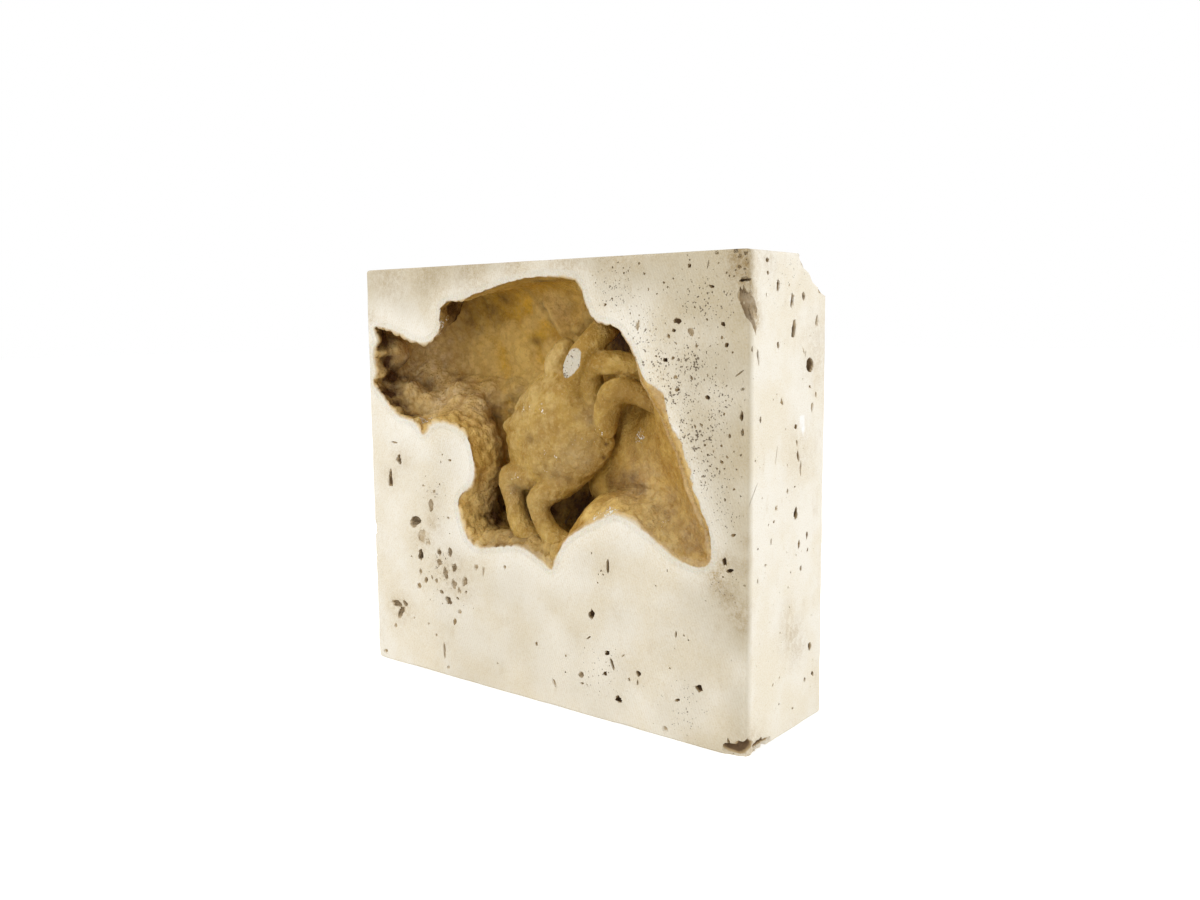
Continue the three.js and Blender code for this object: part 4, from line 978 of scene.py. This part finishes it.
def makePits():
    # each listed pit in the first batch in which it touches no other one, so that no tool crosses itself,
    # and the strewn ones in the first batch alone, left out where they would touch
    pits = pitRows("front", frontPits) + pitRows("right", sidePits)
    listed = len(pits)
    pits += strewnPits("front", blockFacts["pores"], 61)
    for seed, side in enumerate(["right", "left", "back", "top"]):
        pits += strewnPits(side, blockFacts["otherPores"], 62 + seed)
    rim = mouthLine(np.arange(400) / 400 * len(mouth))
    batches = [[]]
    for number, (centre, halfSizes, axes, lean) in enumerate(pits):
        reach = max(halfSizes) * blockFacts["pitReach"]
        strewn = number >= listed
        if strewn and not isFree(centre, axes, reach, rim):
            continue
        for batch in batches[:1] if strewn else batches:
            gaps = [np.linalg.norm(centre - other[0]) - reach - far for far, other in batch]
            if min(gaps, default=1) > blockFacts["pitGap"]:
                batch.append((reach, (centre, halfSizes, axes, lean, number)))
                break
        else:
            if not strewn:
                batches.append([(reach, (centre, halfSizes, axes, lean, number))])
    return [pitTool([pit for _, pit in batch]) for batch in batches]


def insideLine(line, point):
    # whether the point lies within the closed line: an odd number of the line's stretches cross the way up
    x, z = line[:, 0], line[:, 2]
    nextX, nextZ = np.roll(x, -1), np.roll(z, -1)
    crosses = (x > point[0]) != (nextX > point[0])
    height = z + (point[0] - x) * (nextZ - z) / np.where(crosses, nextX - x, 1)
    return (crosses & (height > point[2])).sum() % 2 == 1


def pitTool(pits):
    # the pits' lumps as one mesh, the large ones rounder
    points = []
    faces = []
    count = 0
    for centre, halfSizes, axes, lean, number in pits:
        size = max(halfSizes[:2])
        level = 1 + (size > 0.42) + (size > 1.0) + (size > 2.6)
        points.append(lumpPoints(centre, halfSizes, axes, lean, level, number))
        faces.append(balls[level][1] + count)
        count += len(points[-1])
    tool = meshObject("pits", np.vstack(points), np.vstack(faces).tolist())
    return outwards(tool)


def makeChip(centre, halfSizes, turn, tilt, seed):
    # its first axis points along the turn and rises by the tilt
    ahead = [np.cos(turn) * np.cos(tilt), np.sin(turn) * np.cos(tilt), np.sin(tilt)]
    aside = [-np.sin(turn), np.cos(turn), 0]
    axes = [ahead, aside, np.cross(ahead, aside)]
    points = lumpPoints(np.array(centre), halfSizes, axes, 0, 5, seed)
    broken = 0.5 * softNoise(points, 2.2, 54) + 0.35 * softNoise(points, 0.9, 53)
    broken += 0.4 * (bubbles(points, 1.6, 55) - 0.5)
    points += (broken * min(1.0, min(halfSizes) / 4))[:, None] * unit(points - centre)
    return outwards(meshObject("chip", points, balls[5][1].tolist()))


def stoneToneAndShade(place):
    # how beige and shaded the sawn face is: more along the top, to the right and in the streak low on the
    # right, partly the stone's beige and partly painted shade
    x, z = place[..., 0], place[..., 2]
    toneAndShade = 0.12 + 0.29 * smoothStep(-50, -20, x) + 0.5 * smoothStep(81, 98, z)
    toneAndShade += (0.22 + 0.36 * smoothStep(15, 35, z)) * smoothStep(30, 52, x)
    toneAndShade *= 1 + 0.3 * softNoise(place, 6.0, 71)
    return np.clip(toneAndShade, 0, 1) * smoothStep(3.0, 0.5, place[..., 1] - frontY)


def poreShare(place):
    # the share of pinhole pores: by the fields on the sawn face, by noise on the others
    fields = np.zeros(place.shape[:-1])
    for x, z, spread, share in poreFields:
        away = ((place - inBlock([x, z, 0])) ** 2).sum(axis=-1) / (1.3 * spread) ** 2
        fields = np.maximum(fields, (0.5 + 4 * share) * np.exp(-away))
    others = (0.45 + 0.45 * softNoise(place, 16.0, 72)) * (1 - 0.6 * smoothStep(54.5, 55.2, place[..., 0]))
    return np.where(place[..., 1] < frontY + 0.3, 0.06 + fields, others)


def fromMouth(place):
    # the distance of each point from the mouth's line
    rim = mouthLine(np.arange(300) / 300 * len(mouth))
    return np.concatenate([
        np.linalg.norm(part[:, None] - rim, axis=2).min(axis=1) for part in np.array_split(place, 30)
    ])


def makeBlock():
    # the box less its chips, pits and hollow, masked by how deep each point lies below the faces for the
    # painted shade in pits and chips
    facts = blockFacts
    body = makeBody()
    for seed, (centre, halfSizes, turn, tilt) in enumerate(chips):
        cutAway(body, makeChip(centre, halfSizes, turn, tilt, seed))
    for tool in makePits():
        cutAway(body, tool)
    cutAway(body, makeHollowTool())
    place = pointsOf(body)
    inside = np.sort(np.minimum(place - blockLow, blockHigh - place), axis=1)
    # painted shade: darker with depth below the faces, starting deeper beside an edge
    low, high = facts["pitShade"]
    nearEdge = facts["edgeShade"] * smoothStep(2.0, 0.8, inside[:, 1])
    pit = smoothStep(low + nearEdge, high + nearEdge, inside[:, 0])
    # whiter and sugary next to the crust's cut
    near = np.exp(-(np.maximum(fromMouth(place) - liningFacts["lip"], 0) / facts["whiteReach"]) ** 2)
    near *= smoothStep(2.0, 0.5, place[:, 1] - frontY)
    toneAndShade = stoneToneAndShade(place) * (1 - 0.5 * near)
    sugar = np.maximum(marks(place, stoneMarks["powder"]), 0.3 * near)
    setMasks(body, "masks", pit, marks(place, stoneMarks["stain"]), sugar)
    setMasks(body, "stone", marks(place, stoneMarks["filled"]), poreShare(place), toneAndShade)
    body.data.materials.clear()
    return body


# Helpers for shader nodes.

def give(tree, inputs, sockets):
    # each named input linked to another node's socket, or set to a value
    for name, value in sockets.items():
        if isinstance(value, bpy.types.NodeSocket):
            tree.links.new(value, inputs[name])
        else:
            inputs[name].default_value = value


def node(tree, kind, sockets={}, **settings):
    # a new node with its settings, and its inputs linked or set
    made = tree.nodes.new("ShaderNode" + kind)
    for name, value in settings.items():
        setattr(made, name, value)
    give(tree, made.inputs, sockets)
    return made


def sums(tree, operation, *values):
    # one step of arithmetic on sockets and numbers
    return node(tree, "Math", dict(enumerate(values)), operation=operation).outputs[0]


def fade(tree, value, low, high, start=0.0, end=1.0):
    # start below low, end above high, smooth between
    sockets = {"Value": value, "From Min": low, "From Max": high, "To Min": start, "To Max": end}
    return node(tree, "MapRange", sockets, interpolation_type='SMOOTHSTEP').outputs["Result"]


def clouds(tree, place, size, detail, rough):
    # soft noise with features of about this size in millimetres
    sockets = {"Vector": place, "Scale": 1 / size, "Detail": detail, "Roughness": rough}
    return node(tree, "TexNoise", sockets).outputs["Fac"]


def blend(tree, factor, first, second, kind='MIX'):
    # two colours mixed, each a socket or red, green and blue
    first, second = [
        value if isinstance(value, bpy.types.NodeSocket) else (*value, 1) for value in (first, second)
    ]
    sockets = {0: factor, 6: first, 7: second}
    return node(tree, "Mix", sockets, data_type='RGBA', blend_type=kind, clamp_factor=True).outputs[2]


def tint(tree, colour, second, driver, low, high, most=1.0):
    # a second colour over the first: none where the driver is low, and the most of it where it is high
    return blend(tree, fade(tree, driver, low, high, 0, most), colour, second)


def millimetres(tree, stretch=(1, 1, 1)):
    # the object's own coordinates, counted in millimetres
    place = node(tree, "TexCoord").outputs["Object"]
    scale = [value / mm for value in stretch]
    return node(tree, "Mapping", {"Vector": place, "Scale": scale}).outputs["Vector"]


def newGroup(name, inputs, outputs):
    # inputs and outputs as {name: socket kind}
    tree = bpy.data.node_groups.new(name, "ShaderNodeTree")
    for direction, sockets in (('INPUT', inputs), ('OUTPUT', outputs)):
        for title, kind in sockets.items():
            tree.interface.new_socket(name=title, in_out=direction, socket_type="NodeSocket" + kind)
    return tree, tree.nodes.new("NodeGroupInput").outputs, tree.nodes.new("NodeGroupOutput").inputs


def useGroup(tree, name, sockets):
    # a node group placed in this material with its own values
    return node(tree, "Group", sockets, node_tree=bpy.data.node_groups[name]).outputs


def channels(tree, name):
    # the four channels of one of the mesh's colour attributes
    attribute = node(tree, "Attribute", attribute_name=name).outputs
    parts = node(tree, "SeparateColor", {"Color": attribute["Color"]}).outputs
    return parts["Red"], parts["Green"], parts["Blue"], attribute["Alpha"]


def newMaterial(name, **sockets):
    # a Principled shader with these values on its own sockets
    material = bpy.data.materials.new(name)
    material.use_nodes = True
    tree = material.node_tree
    tree.nodes.clear()
    values = {title.replace("_", " "): value for title, value in sockets.items()}
    shader = node(tree, "BsdfPrincipled", values)
    node(tree, "OutputMaterial", {"Surface": shader.outputs["BSDF"]})
    return material, tree, shader


def finish(tree, shader, colour, roughness, height, reach):
    # the shader's colour and roughness, and a bump that stands up to its reach in millimetres
    bump = node(tree, "Bump", {"Height": height, "Distance": reach * mm, "Strength": 1.0})
    normal = bump.outputs["Normal"]
    give(tree, shader.inputs, {"Base Color": colour, "Roughness": roughness, "Normal": normal})


travertineFacts = {
    "cream": (0.82, 0.74, 0.58),
    "white": (0.88, 0.83, 0.72),
    "tonedAndShaded": (0.63, 0.59, 0.505),      # what the full tone leaves of the colour, the stone's beige and painted shade
    "beige": (0.66, 0.55, 0.38),
    "stain": (0.46, 0.33, 0.15),
    "sugar": (0.93, 0.90, 0.83),
    "crystal": (0.96, 0.95, 0.92),
    # the pinholes' colour is painted shade
    "shadedPinhole": (0.10, 0.062, 0.03),
    # the pit walls' and floors' colours are painted shade, the walls also the stone's own brown
    "pitWall": (0.43, 0.31, 0.16),
    "pitFloorShade": (0.13, 0.078, 0.038),
    "cloudSize": 14,                   # sizes of the patterns in millimetres
    "streakSize": 3.2,
    "patchSize": 1.3,
    "grainSize": 0.32,
    "pinholeSize": 0.62,
    "warpSize": 0.5,
    "sawPitch": 0.62,
    "sawTurn": 0.35,
    "sawDeep": (0.3, 2.0),             # the saw's marks fade out between these depths
    "bump": 0.1,
}


def makeTravertineGroup():
    # sawn stone: cream clouds, sugary grain, pinhole pores painted dark as their shade, and the saw's fine
    # parallel marks
    facts = travertineFacts
    tree, given, made = newGroup("sawnTravertine", {
        "Pores": "Float", "Stain": "Float", "Sugar": "Float", "ToneAndShade": "Float",
    }, {"Colour": "Color", "Roughness": "Float", "Height": "Float"})
    place = millimetres(tree)
    broad = clouds(tree, place, facts["cloudSize"], 4, 0.55)
    grain = clouds(tree, place, facts["grainSize"], 3, 0.7)
    streaks = clouds(tree, millimetres(tree, (1, 1, 0.45)), facts["streakSize"], 4, 0.6)
    patches = clouds(tree, place, facts["patchSize"], 3, 0.6)
    colour = blend(tree, fade(tree, broad, 0.36, 0.62), facts["cream"], facts["white"])
    colour = tint(tree, colour, facts["beige"], streaks, 0.56, 0.76, 0.4)
    stain = sums(tree, 'MULTIPLY', given["Stain"], fade(tree, patches, 0.3, 0.62, 0.35, 1.3))
    colour = blend(tree, stain, colour, facts["stain"])
    sugar = sums(tree, 'MULTIPLY_ADD', given["Sugar"], 0.6, 0.35)
    sugar = sums(tree, 'MULTIPLY', fade(tree, grain, 0.38, 0.62), sugar)
    colour = blend(tree, sugar, colour, facts["sugar"])
    colour = tint(tree, colour, facts["beige"], grain, 0.46, 0.32, 0.3)
    colour = tint(tree, colour, facts["crystal"], given["Sugar"], 0.45, 0.85)
    # pinholes: cells of warped coordinates, each painted dark as the shade in a hole within a size that the
    # given share and noise set
    warp = node(tree, "TexNoise", {"Vector": place, "Scale": 1 / facts["warpSize"]}).outputs["Color"]
    warped = node(tree, "VectorMath", {0: warp, 1: (0.55, 0.55, 0.55), 2: place}, operation='MULTIPLY_ADD')
    cells = node(tree, "TexVoronoi", {"Vector": warped.outputs[0], "Scale": 1 / facts["pinholeSize"]})
    size = sums(tree, 'MULTIPLY', fade(tree, patches, 0.38, 0.6, 0.0, 0.5), given["Pores"])
    shadedPinhole = fade(tree, sums(tree, 'SUBTRACT', cells.outputs["Distance"], size), -0.10, -0.02, 1, 0)
    colour = blend(tree, sums(tree, 'MULTIPLY', shadedPinhole, 0.8), colour, facts["shadedPinhole"])
    # a wave node repeats once for each 0.314 of its scale
    saw = node(tree, "TexWave", {
        "Vector": node(tree, "Mapping", {"Vector": place, "Rotation": (0, facts["sawTurn"], 0)}).outputs[0],
        "Scale": 0.314 / facts["sawPitch"], "Distortion": 1.2, "Detail": 1.0, "Detail Scale": 0.02,
    }, bands_direction='X').outputs["Fac"]
    # the saw's marks show on the sawn face alone
    depth = sums(tree, 'SUBTRACT', node(tree, "SeparateXYZ", {"Vector": place}).outputs["Y"], float(frontY))
    saw = sums(tree, 'MULTIPLY', saw, fade(tree, depth, *facts["sawDeep"], 1.0, 0.1))
    colour = tint(tree, colour, facts["beige"], saw, 0.2, 0.9, 0.11)
    height = sums(tree, 'MULTIPLY_ADD', grain, 1.0, sums(tree, 'MULTIPLY', saw, 0.26))
    height = sums(tree, 'SUBTRACT', height, shadedPinhole)
    # the stone's beige and painted shade: the tone darkens the colour along the top and to the right
    colour = blend(tree, given["ToneAndShade"], colour, facts["tonedAndShaded"], 'MULTIPLY')
    rough = fade(tree, grain, 0.3, 0.7, 0.95, 0.8)
    give(tree, made, {"Colour": colour, "Roughness": rough, "Height": height})


# Sizes of the calcite's patterns in millimetres.
calciteFacts = {
    "cloudSize": 6.5,
    "patchSize": 1.9,
    "grainSize": 0.6,
    "noduleSizes": ((1.9, 0.7), (0.75, 0.3)),    # each with its share
    "powderSize": 0.5,
    "powder": (0.90, 0.86, 0.76),
    "raggedSize": 0.5,       # of the saw's ragged edge
    "bump": 0.3,
}


def makeHoneyGroup():
    # calcite: honey clouds, painted light on the crests and painted shade in the hollows and between
    # nodules, dark stains that also hold painted shade, grey-brown crust and frosted specks
    facts = calciteFacts
    tree, given, made = newGroup("honeyCalcite", {
        "Deep": "Color", "Honey": "Color", "Pale": "Color", "Dull": "Color", "Stain": "Color",
        "Gold": "Color", "CrestLightAndShade": "Float", "StainedAndShaded": "Float", "Powder": "Float", "Dulled": "Float",
        "Golden": "Float", "Grain": "Float", "Nodules": "Float",
    }, {"Colour": "Color", "Roughness": "Float", "Height": "Float"})
    place = millimetres(tree)
    broad = clouds(tree, place, facts["cloudSize"], 3, 0.55)
    middle = clouds(tree, place, facts["patchSize"], 3, 0.6)
    grain = clouds(tree, place, facts["grainSize"], 3, 0.7)
    colour = blend(tree, fade(tree, broad, 0.34, 0.66), given["Honey"], given["Deep"])
    # nodules: the distance to the nearest of random points, squared, in two sizes
    gaps = 0.0
    for size, share in facts["noduleSizes"]:
        nearest = node(tree, "TexVoronoi", {"Vector": place, "Scale": 1 / size}).outputs["Distance"]
        gaps = sums(tree, 'MULTIPLY_ADD', sums(tree, 'POWER', nearest, 2.0), 2 * share, gaps)
    gold = sums(tree, 'MULTIPLY', given["Golden"], fade(tree, broad, 0.3, 0.6, 1.0, 0.45))
    colour = blend(tree, gold, colour, given["Gold"])
    # the middle clouds vary the colour at random, and the crest mask paints light on the crests and shade
    # in the hollows
    for driver, title, low, high, most in (
        (middle, "Pale", 0.45, 0.72, 0.38), (middle, "Deep", 0.46, 0.3, 0.28),
        (given["CrestLightAndShade"], "Pale", 0.5, 0.95, 0.75), (given["CrestLightAndShade"], "Deep", 0.45, 0.1, 0.75),
    ):
        colour = tint(tree, colour, given[title], driver, low, high, most)
    dull = sums(tree, 'MULTIPLY', given["Dulled"], fade(tree, middle, 0.3, 0.65, 1.0, 0.55))
    colour = blend(tree, dull, colour, given["Dull"])
    # painted shade: the gaps between nodules darken towards the deep colour
    between = sums(tree, 'MULTIPLY', fade(tree, gaps, 0.3, 0.8, 0, 0.5), given["Nodules"])
    colour = blend(tree, between, colour, given["Deep"])
    colour = tint(tree, colour, given["Pale"], grain, 0.5, 0.7, 0.3)
    colour = tint(tree, colour, given["Deep"], grain, 0.48, 0.34, 0.25)
    # the stain mask holds painted shade in deep pockets as well as real stains
    stain = sums(tree, 'MULTIPLY', given["StainedAndShaded"], fade(tree, middle, 0.3, 0.6, 1.5, 1.05))
    colour = blend(tree, stain, colour, given["Stain"])
    # white grains: dots that grow with the powder mask until they meet
    cells = node(tree, "TexVoronoi", {"Vector": place, "Scale": 1 / facts["powderSize"]}).outputs[0]
    size = sums(tree, 'MULTIPLY', given["Powder"], fade(tree, grain, 0.35, 0.65, 0.25, 1.1))
    dots = fade(tree, sums(tree, 'SUBTRACT', cells, size), -0.12, 0.02, 1, 0)
    colour = blend(tree, dots, colour, facts["powder"])
    rough = sums(tree, 'MULTIPLY_ADD', given["Dulled"], 0.2, fade(tree, grain, 0.35, 0.7, 0.5, 0.32))
    height = sums(tree, 'MULTIPLY_ADD', grain, given["Grain"], sums(tree, 'MULTIPLY', middle, 0.4))
    height = sums(tree, 'MULTIPLY_ADD', gaps, sums(tree, 'MULTIPLY', given["Nodules"], -1.2), height)
    height = sums(tree, 'MULTIPLY_ADD', dots, 0.25, height)
    give(tree, made, {"Colour": colour, "Roughness": rough, "Height": height})


def makeSawnGroup():
    # 1 where the saw met the crust, fading to 0 over the first sugary half millimetre behind the cut
    tree, given, made = newGroup("sawnEdge", {"Reach": "Float"}, {"Mask": "Float"})
    place = millimetres(tree)
    depth = sums(tree, 'SUBTRACT', node(tree, "SeparateXYZ", {"Vector": place}).outputs["Y"], float(frontY))
    ragged = sums(tree, 'MULTIPLY_ADD', clouds(tree, place, calciteFacts["raggedSize"], 3, 0.7), 1.6, -0.8)
    depth = sums(tree, 'MULTIPLY_ADD', ragged, given["Reach"], depth)
    give(tree, made, {"Mask": fade(tree, sums(tree, 'DIVIDE', depth, given["Reach"]), 0.1, 1.0, 1.0, 0.0)})


def honeyMaterial(name, facts):
    # calcite, with sawn stone where the saw cut through it
    material, tree, shader = newMaterial(
        name, Subsurface_Weight=facts["waxiness"], Subsurface_Radius=(1.0, 0.55, 0.22),
        Subsurface_Scale=1.2 * mm, Specular_IOR_Level=0.3,
    )
    crestLightAndShade, stained, powder, dulled = channels(tree, "masks")
    sawn = useGroup(tree, "sawnEdge", {"Reach": facts["sawnReach"]})["Mask"]
    if facts["honeyBand"]:
        # where the crust meets the sawn face on the right, its cut stays honey
        band, golden, toneAndShade, pores = channels(tree, "stone")
        sawn = sums(tree, 'MULTIPLY', sawn, sums(tree, 'MULTIPLY_ADD', band, -0.85, 1.0))
    else:
        golden, toneAndShade, pores = 0.0, facts["sawnToneAndShade"], facts["sawnPores"]
    stone = useGroup(tree, "sawnTravertine", {"Pores": pores, "Stain": 0.0, "Sugar": 0.3, "ToneAndShade": toneAndShade})
    # nodules stand out most in the dull crust, and not where the saw went through
    nodules = sums(tree, 'MULTIPLY_ADD', dulled, facts["dullNodules"], facts["nodules"])
    nodules = sums(tree, 'MULTIPLY', nodules, sums(tree, 'SUBTRACT', 1.0, sawn))
    titles = ("Deep", "Honey", "Pale", "Dull", "Stain", "Gold")
    colours = {title: (*facts[title.lower()], 1) for title in titles}
    honey = useGroup(tree, "honeyCalcite", {
        **colours, "CrestLightAndShade": crestLightAndShade, "StainedAndShaded": stained, "Powder": powder, "Dulled": dulled,
        "Golden": golden, "Grain": facts["grain"], "Nodules": nodules,
    })
    colour = blend(tree, sawn, honey["Colour"], stone["Colour"])
    rough = node(tree, "Mix", {"Factor": sawn, "A": honey["Roughness"], "B": stone["Roughness"]}).outputs[0]
    finish(tree, shader, colour, rough, honey["Height"], calciteFacts["bump"])
    return material


def travertineMaterial():
    # sawn stone, with painted shade in its pits: brown walls and dark floors
    facts = travertineFacts
    material, tree, shader = newMaterial("travertine", Specular_IOR_Level=0.3)
    pit, stained, sugar, _ = channels(tree, "masks")
    filled, pores, toneAndShade, _ = channels(tree, "stone")
    stone = useGroup(tree, "sawnTravertine", {
        "Pores": pores, "Stain": stained, "Sugar": sugar, "ToneAndShade": toneAndShade,
    })
    # painted shade: a pit darkens from its wall to its floor, less where brown sinter fills it
    colour = stone["Colour"]
    for title, low, high, lighter in (("pitWall", 0.0, 0.4, -0.6), ("pitFloorShade", 0.35, 1.0, -1.1)):
        share = sums(tree, 'MULTIPLY_ADD', filled, lighter, 1.0)
        share = sums(tree, 'MULTIPLY', fade(tree, pit, low, high), share)
        colour = blend(tree, share, colour, facts[title])
    finish(tree, shader, colour, stone["Roughness"], stone["Height"], facts["bump"])
    return material


def floorMaterial():
    # white, and a little brighter than lit where the camera sees it, so that it runs into the backdrop
    material, tree, shader = newMaterial(
        "paleFloor", Base_Color=(0.93, 0.93, 0.93, 1), Roughness=0.9, Emission_Color=(1, 1, 1, 1),
    )
    seen = node(tree, "LightPath").outputs["Is Camera Ray"]
    give(tree, shader.inputs, {"Emission Strength": sums(tree, 'MULTIPLY', seen, studioFacts["floorGlow"])})
    return material


# Colours are red, green and blue in linear light.
liningFinish = {
    # deep and pale also serve as painted shade in hollows and between nodules and as painted light on
    # crests; stain is also the colour of the painted shade in the hollow's pockets
    "deep": (0.39, 0.195, 0.02),
    "honey": (0.55, 0.33, 0.068),
    "pale": (0.80, 0.55, 0.175),
    "gold": (0.80, 0.46, 0.035),
    "dull": (0.66, 0.50, 0.29),
    "stain": (0.07, 0.024, 0.002),
    "waxiness": 0.12,
    "grain": 1.5,
    "nodules": 0.55,
    "dullNodules": 0.4,      # more in the dull crust
    "sawnReach": 0.7,        # how deep the saw's white grain goes
    "honeyBand": True,
}
crabFinish = {
    # deep and pale also serve as painted shade in creases and as painted light on crests; stain is also the
    # colour of painted shade on the lower leg and along the shell's lower crease
    "deep": (0.36, 0.195, 0.025),
    "honey": (0.53, 0.335, 0.075),
    "pale": (0.73, 0.53, 0.215),
    "gold": (0.6, 0.36, 0.06),
    "dull": (0.48, 0.355, 0.18),
    "stain": (0.16, 0.075, 0.01),
    "waxiness": 0.15,
    "grain": 1.7,
    "nodules": 0.4,
    "dullNodules": 0.15,
    "sawnReach": 0.12,
    "sawnPores": 0.85,
    "sawnToneAndShade": 0.75,
    "honeyBand": False,
}


# The camera's place in millimetres, its angles in degrees and its lens in millimetres.
cameraFacts = {
    "place": (155.83, -190.09, 86.25),
    "turn": 38.17,
    "tip": -6.89,
    "roll": -0.54,
    "lens": 31.43,
}

studioFacts = {
    "ambient": 0.64,           # how much the white backdrop lights
    "floorGlow": 0.45,
    "floorHalf": 3000,
    "softboxes": {             # place, aim and width in metres, and power in watts
        "leftSoftbox": ((-0.45, -0.75, 0.75), (0, 0, 0.05), 0.6, 3.2),
        "frontSoftbox": ((0.35, -0.95, 0.4), (0, 0, 0.05), 0.5, 1.7),
        "rightSoftbox": ((0.85, 0.12, 0.42), (0, 0, 0.05), 0.5, 2.25),
        "topSoftbox": ((0.05, -0.25, 0.9), (0, 0, 0), 0.6, 1.0),
    },
}


def standAt(thing, right, up, back, place):
    # turned so that its own axes run along these directions
    matrix = np.eye(4)
    matrix[:3, :3] = np.column_stack([right, up, back])
    matrix[:3, 3] = place
    thing.matrix_world = Matrix(matrix.tolist())


def makeCamera():
    # level axes from the turn and the tip, then rolled about the view
    facts = cameraFacts
    data = bpy.data.cameras.new("camera")
    data.lens = facts["lens"]
    data.clip_start = 0.01
    turn, tip, roll = np.radians([facts["turn"], facts["tip"], facts["roll"]])
    ahead = np.array([-np.sin(turn) * np.cos(tip), np.cos(turn) * np.cos(tip), np.sin(tip)])
    right = np.array([np.cos(turn), np.sin(turn), 0])
    up = np.cross(right, ahead)
    rolledRight = np.cos(roll) * right + np.sin(roll) * up
    rolledUp = np.cos(roll) * up - np.sin(roll) * right
    camera = addObject("camera", data)
    standAt(camera, rolledRight, rolledUp, -ahead, np.array(facts["place"]) * mm)
    bpy.context.scene.camera = camera


def makeLight(name, place, aim, size, power):
    # a round softbox that faces its aim
    data = bpy.data.lights.new(name, 'AREA')
    data.shape = 'DISK'
    data.size = size
    data.energy = power
    back = unit(np.array(place) - np.array(aim))
    across = unit(np.cross([0, 0.1, 1.0], back))
    standAt(addObject(name, data), across, np.cross(back, across), back, place)


def makeStudio():
    # a white backdrop, a pale floor and the softboxes
    facts = studioFacts
    world = bpy.data.worlds.new("studio")
    bpy.context.scene.world = world
    world.use_nodes = True
    tree = world.node_tree
    # the backdrop looks white, and lights less than it looks
    seen = node(tree, "LightPath").outputs["Is Camera Ray"]
    strength = node(tree, "MapRange", {"Value": seen, "To Min": facts["ambient"], "To Max": 1.0})
    backdrop = {"Color": (1, 1, 1, 1), "Strength": strength.outputs["Result"]}
    give(tree, tree.nodes["Background"].inputs, backdrop)
    corners = facts["floorHalf"] * np.array([[-1, -1, 0], [1, -1, 0], [1, 1, 0], [-1, 1, 0]])
    floor = meshObject("floor", corners, [(0, 1, 2, 3)])
    floor.data.materials.append(floorMaterial())
    for name, (place, aim, size, power) in facts["softboxes"].items():
        makeLight(name, place, aim, size, power)
    bpy.context.scene.view_settings.view_transform = 'Standard'


makeTravertineGroup()
makeHoneyGroup()
makeSawnGroup()
makeCamera()
makeStudio()
print("studio ready")

lining = makeLining()
lining.data.materials.append(honeyMaterial("honeyLining", liningFinish))
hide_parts("calcite_crust")
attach(lining, "root")
print("lining made,", len(lining.data.polygons), "faces")

crab = makeCrab()
crab.data.materials.append(honeyMaterial("honeyCrab", crabFinish))
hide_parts("crab_carapace", "crab_claw", "crab_leg_sawn", "crab_leg_upper", "crab_leg_lower",
            "crab_leg_front", "crab_leg_rear")
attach(crab, "root")
print("crab made,", len(crab.data.polygons), "faces")

block = makeBlock()
block.data.materials.append(travertineMaterial())
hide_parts("travertine_block")
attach(block, "root")
print("block made,", len(block.data.polygons), "faces")
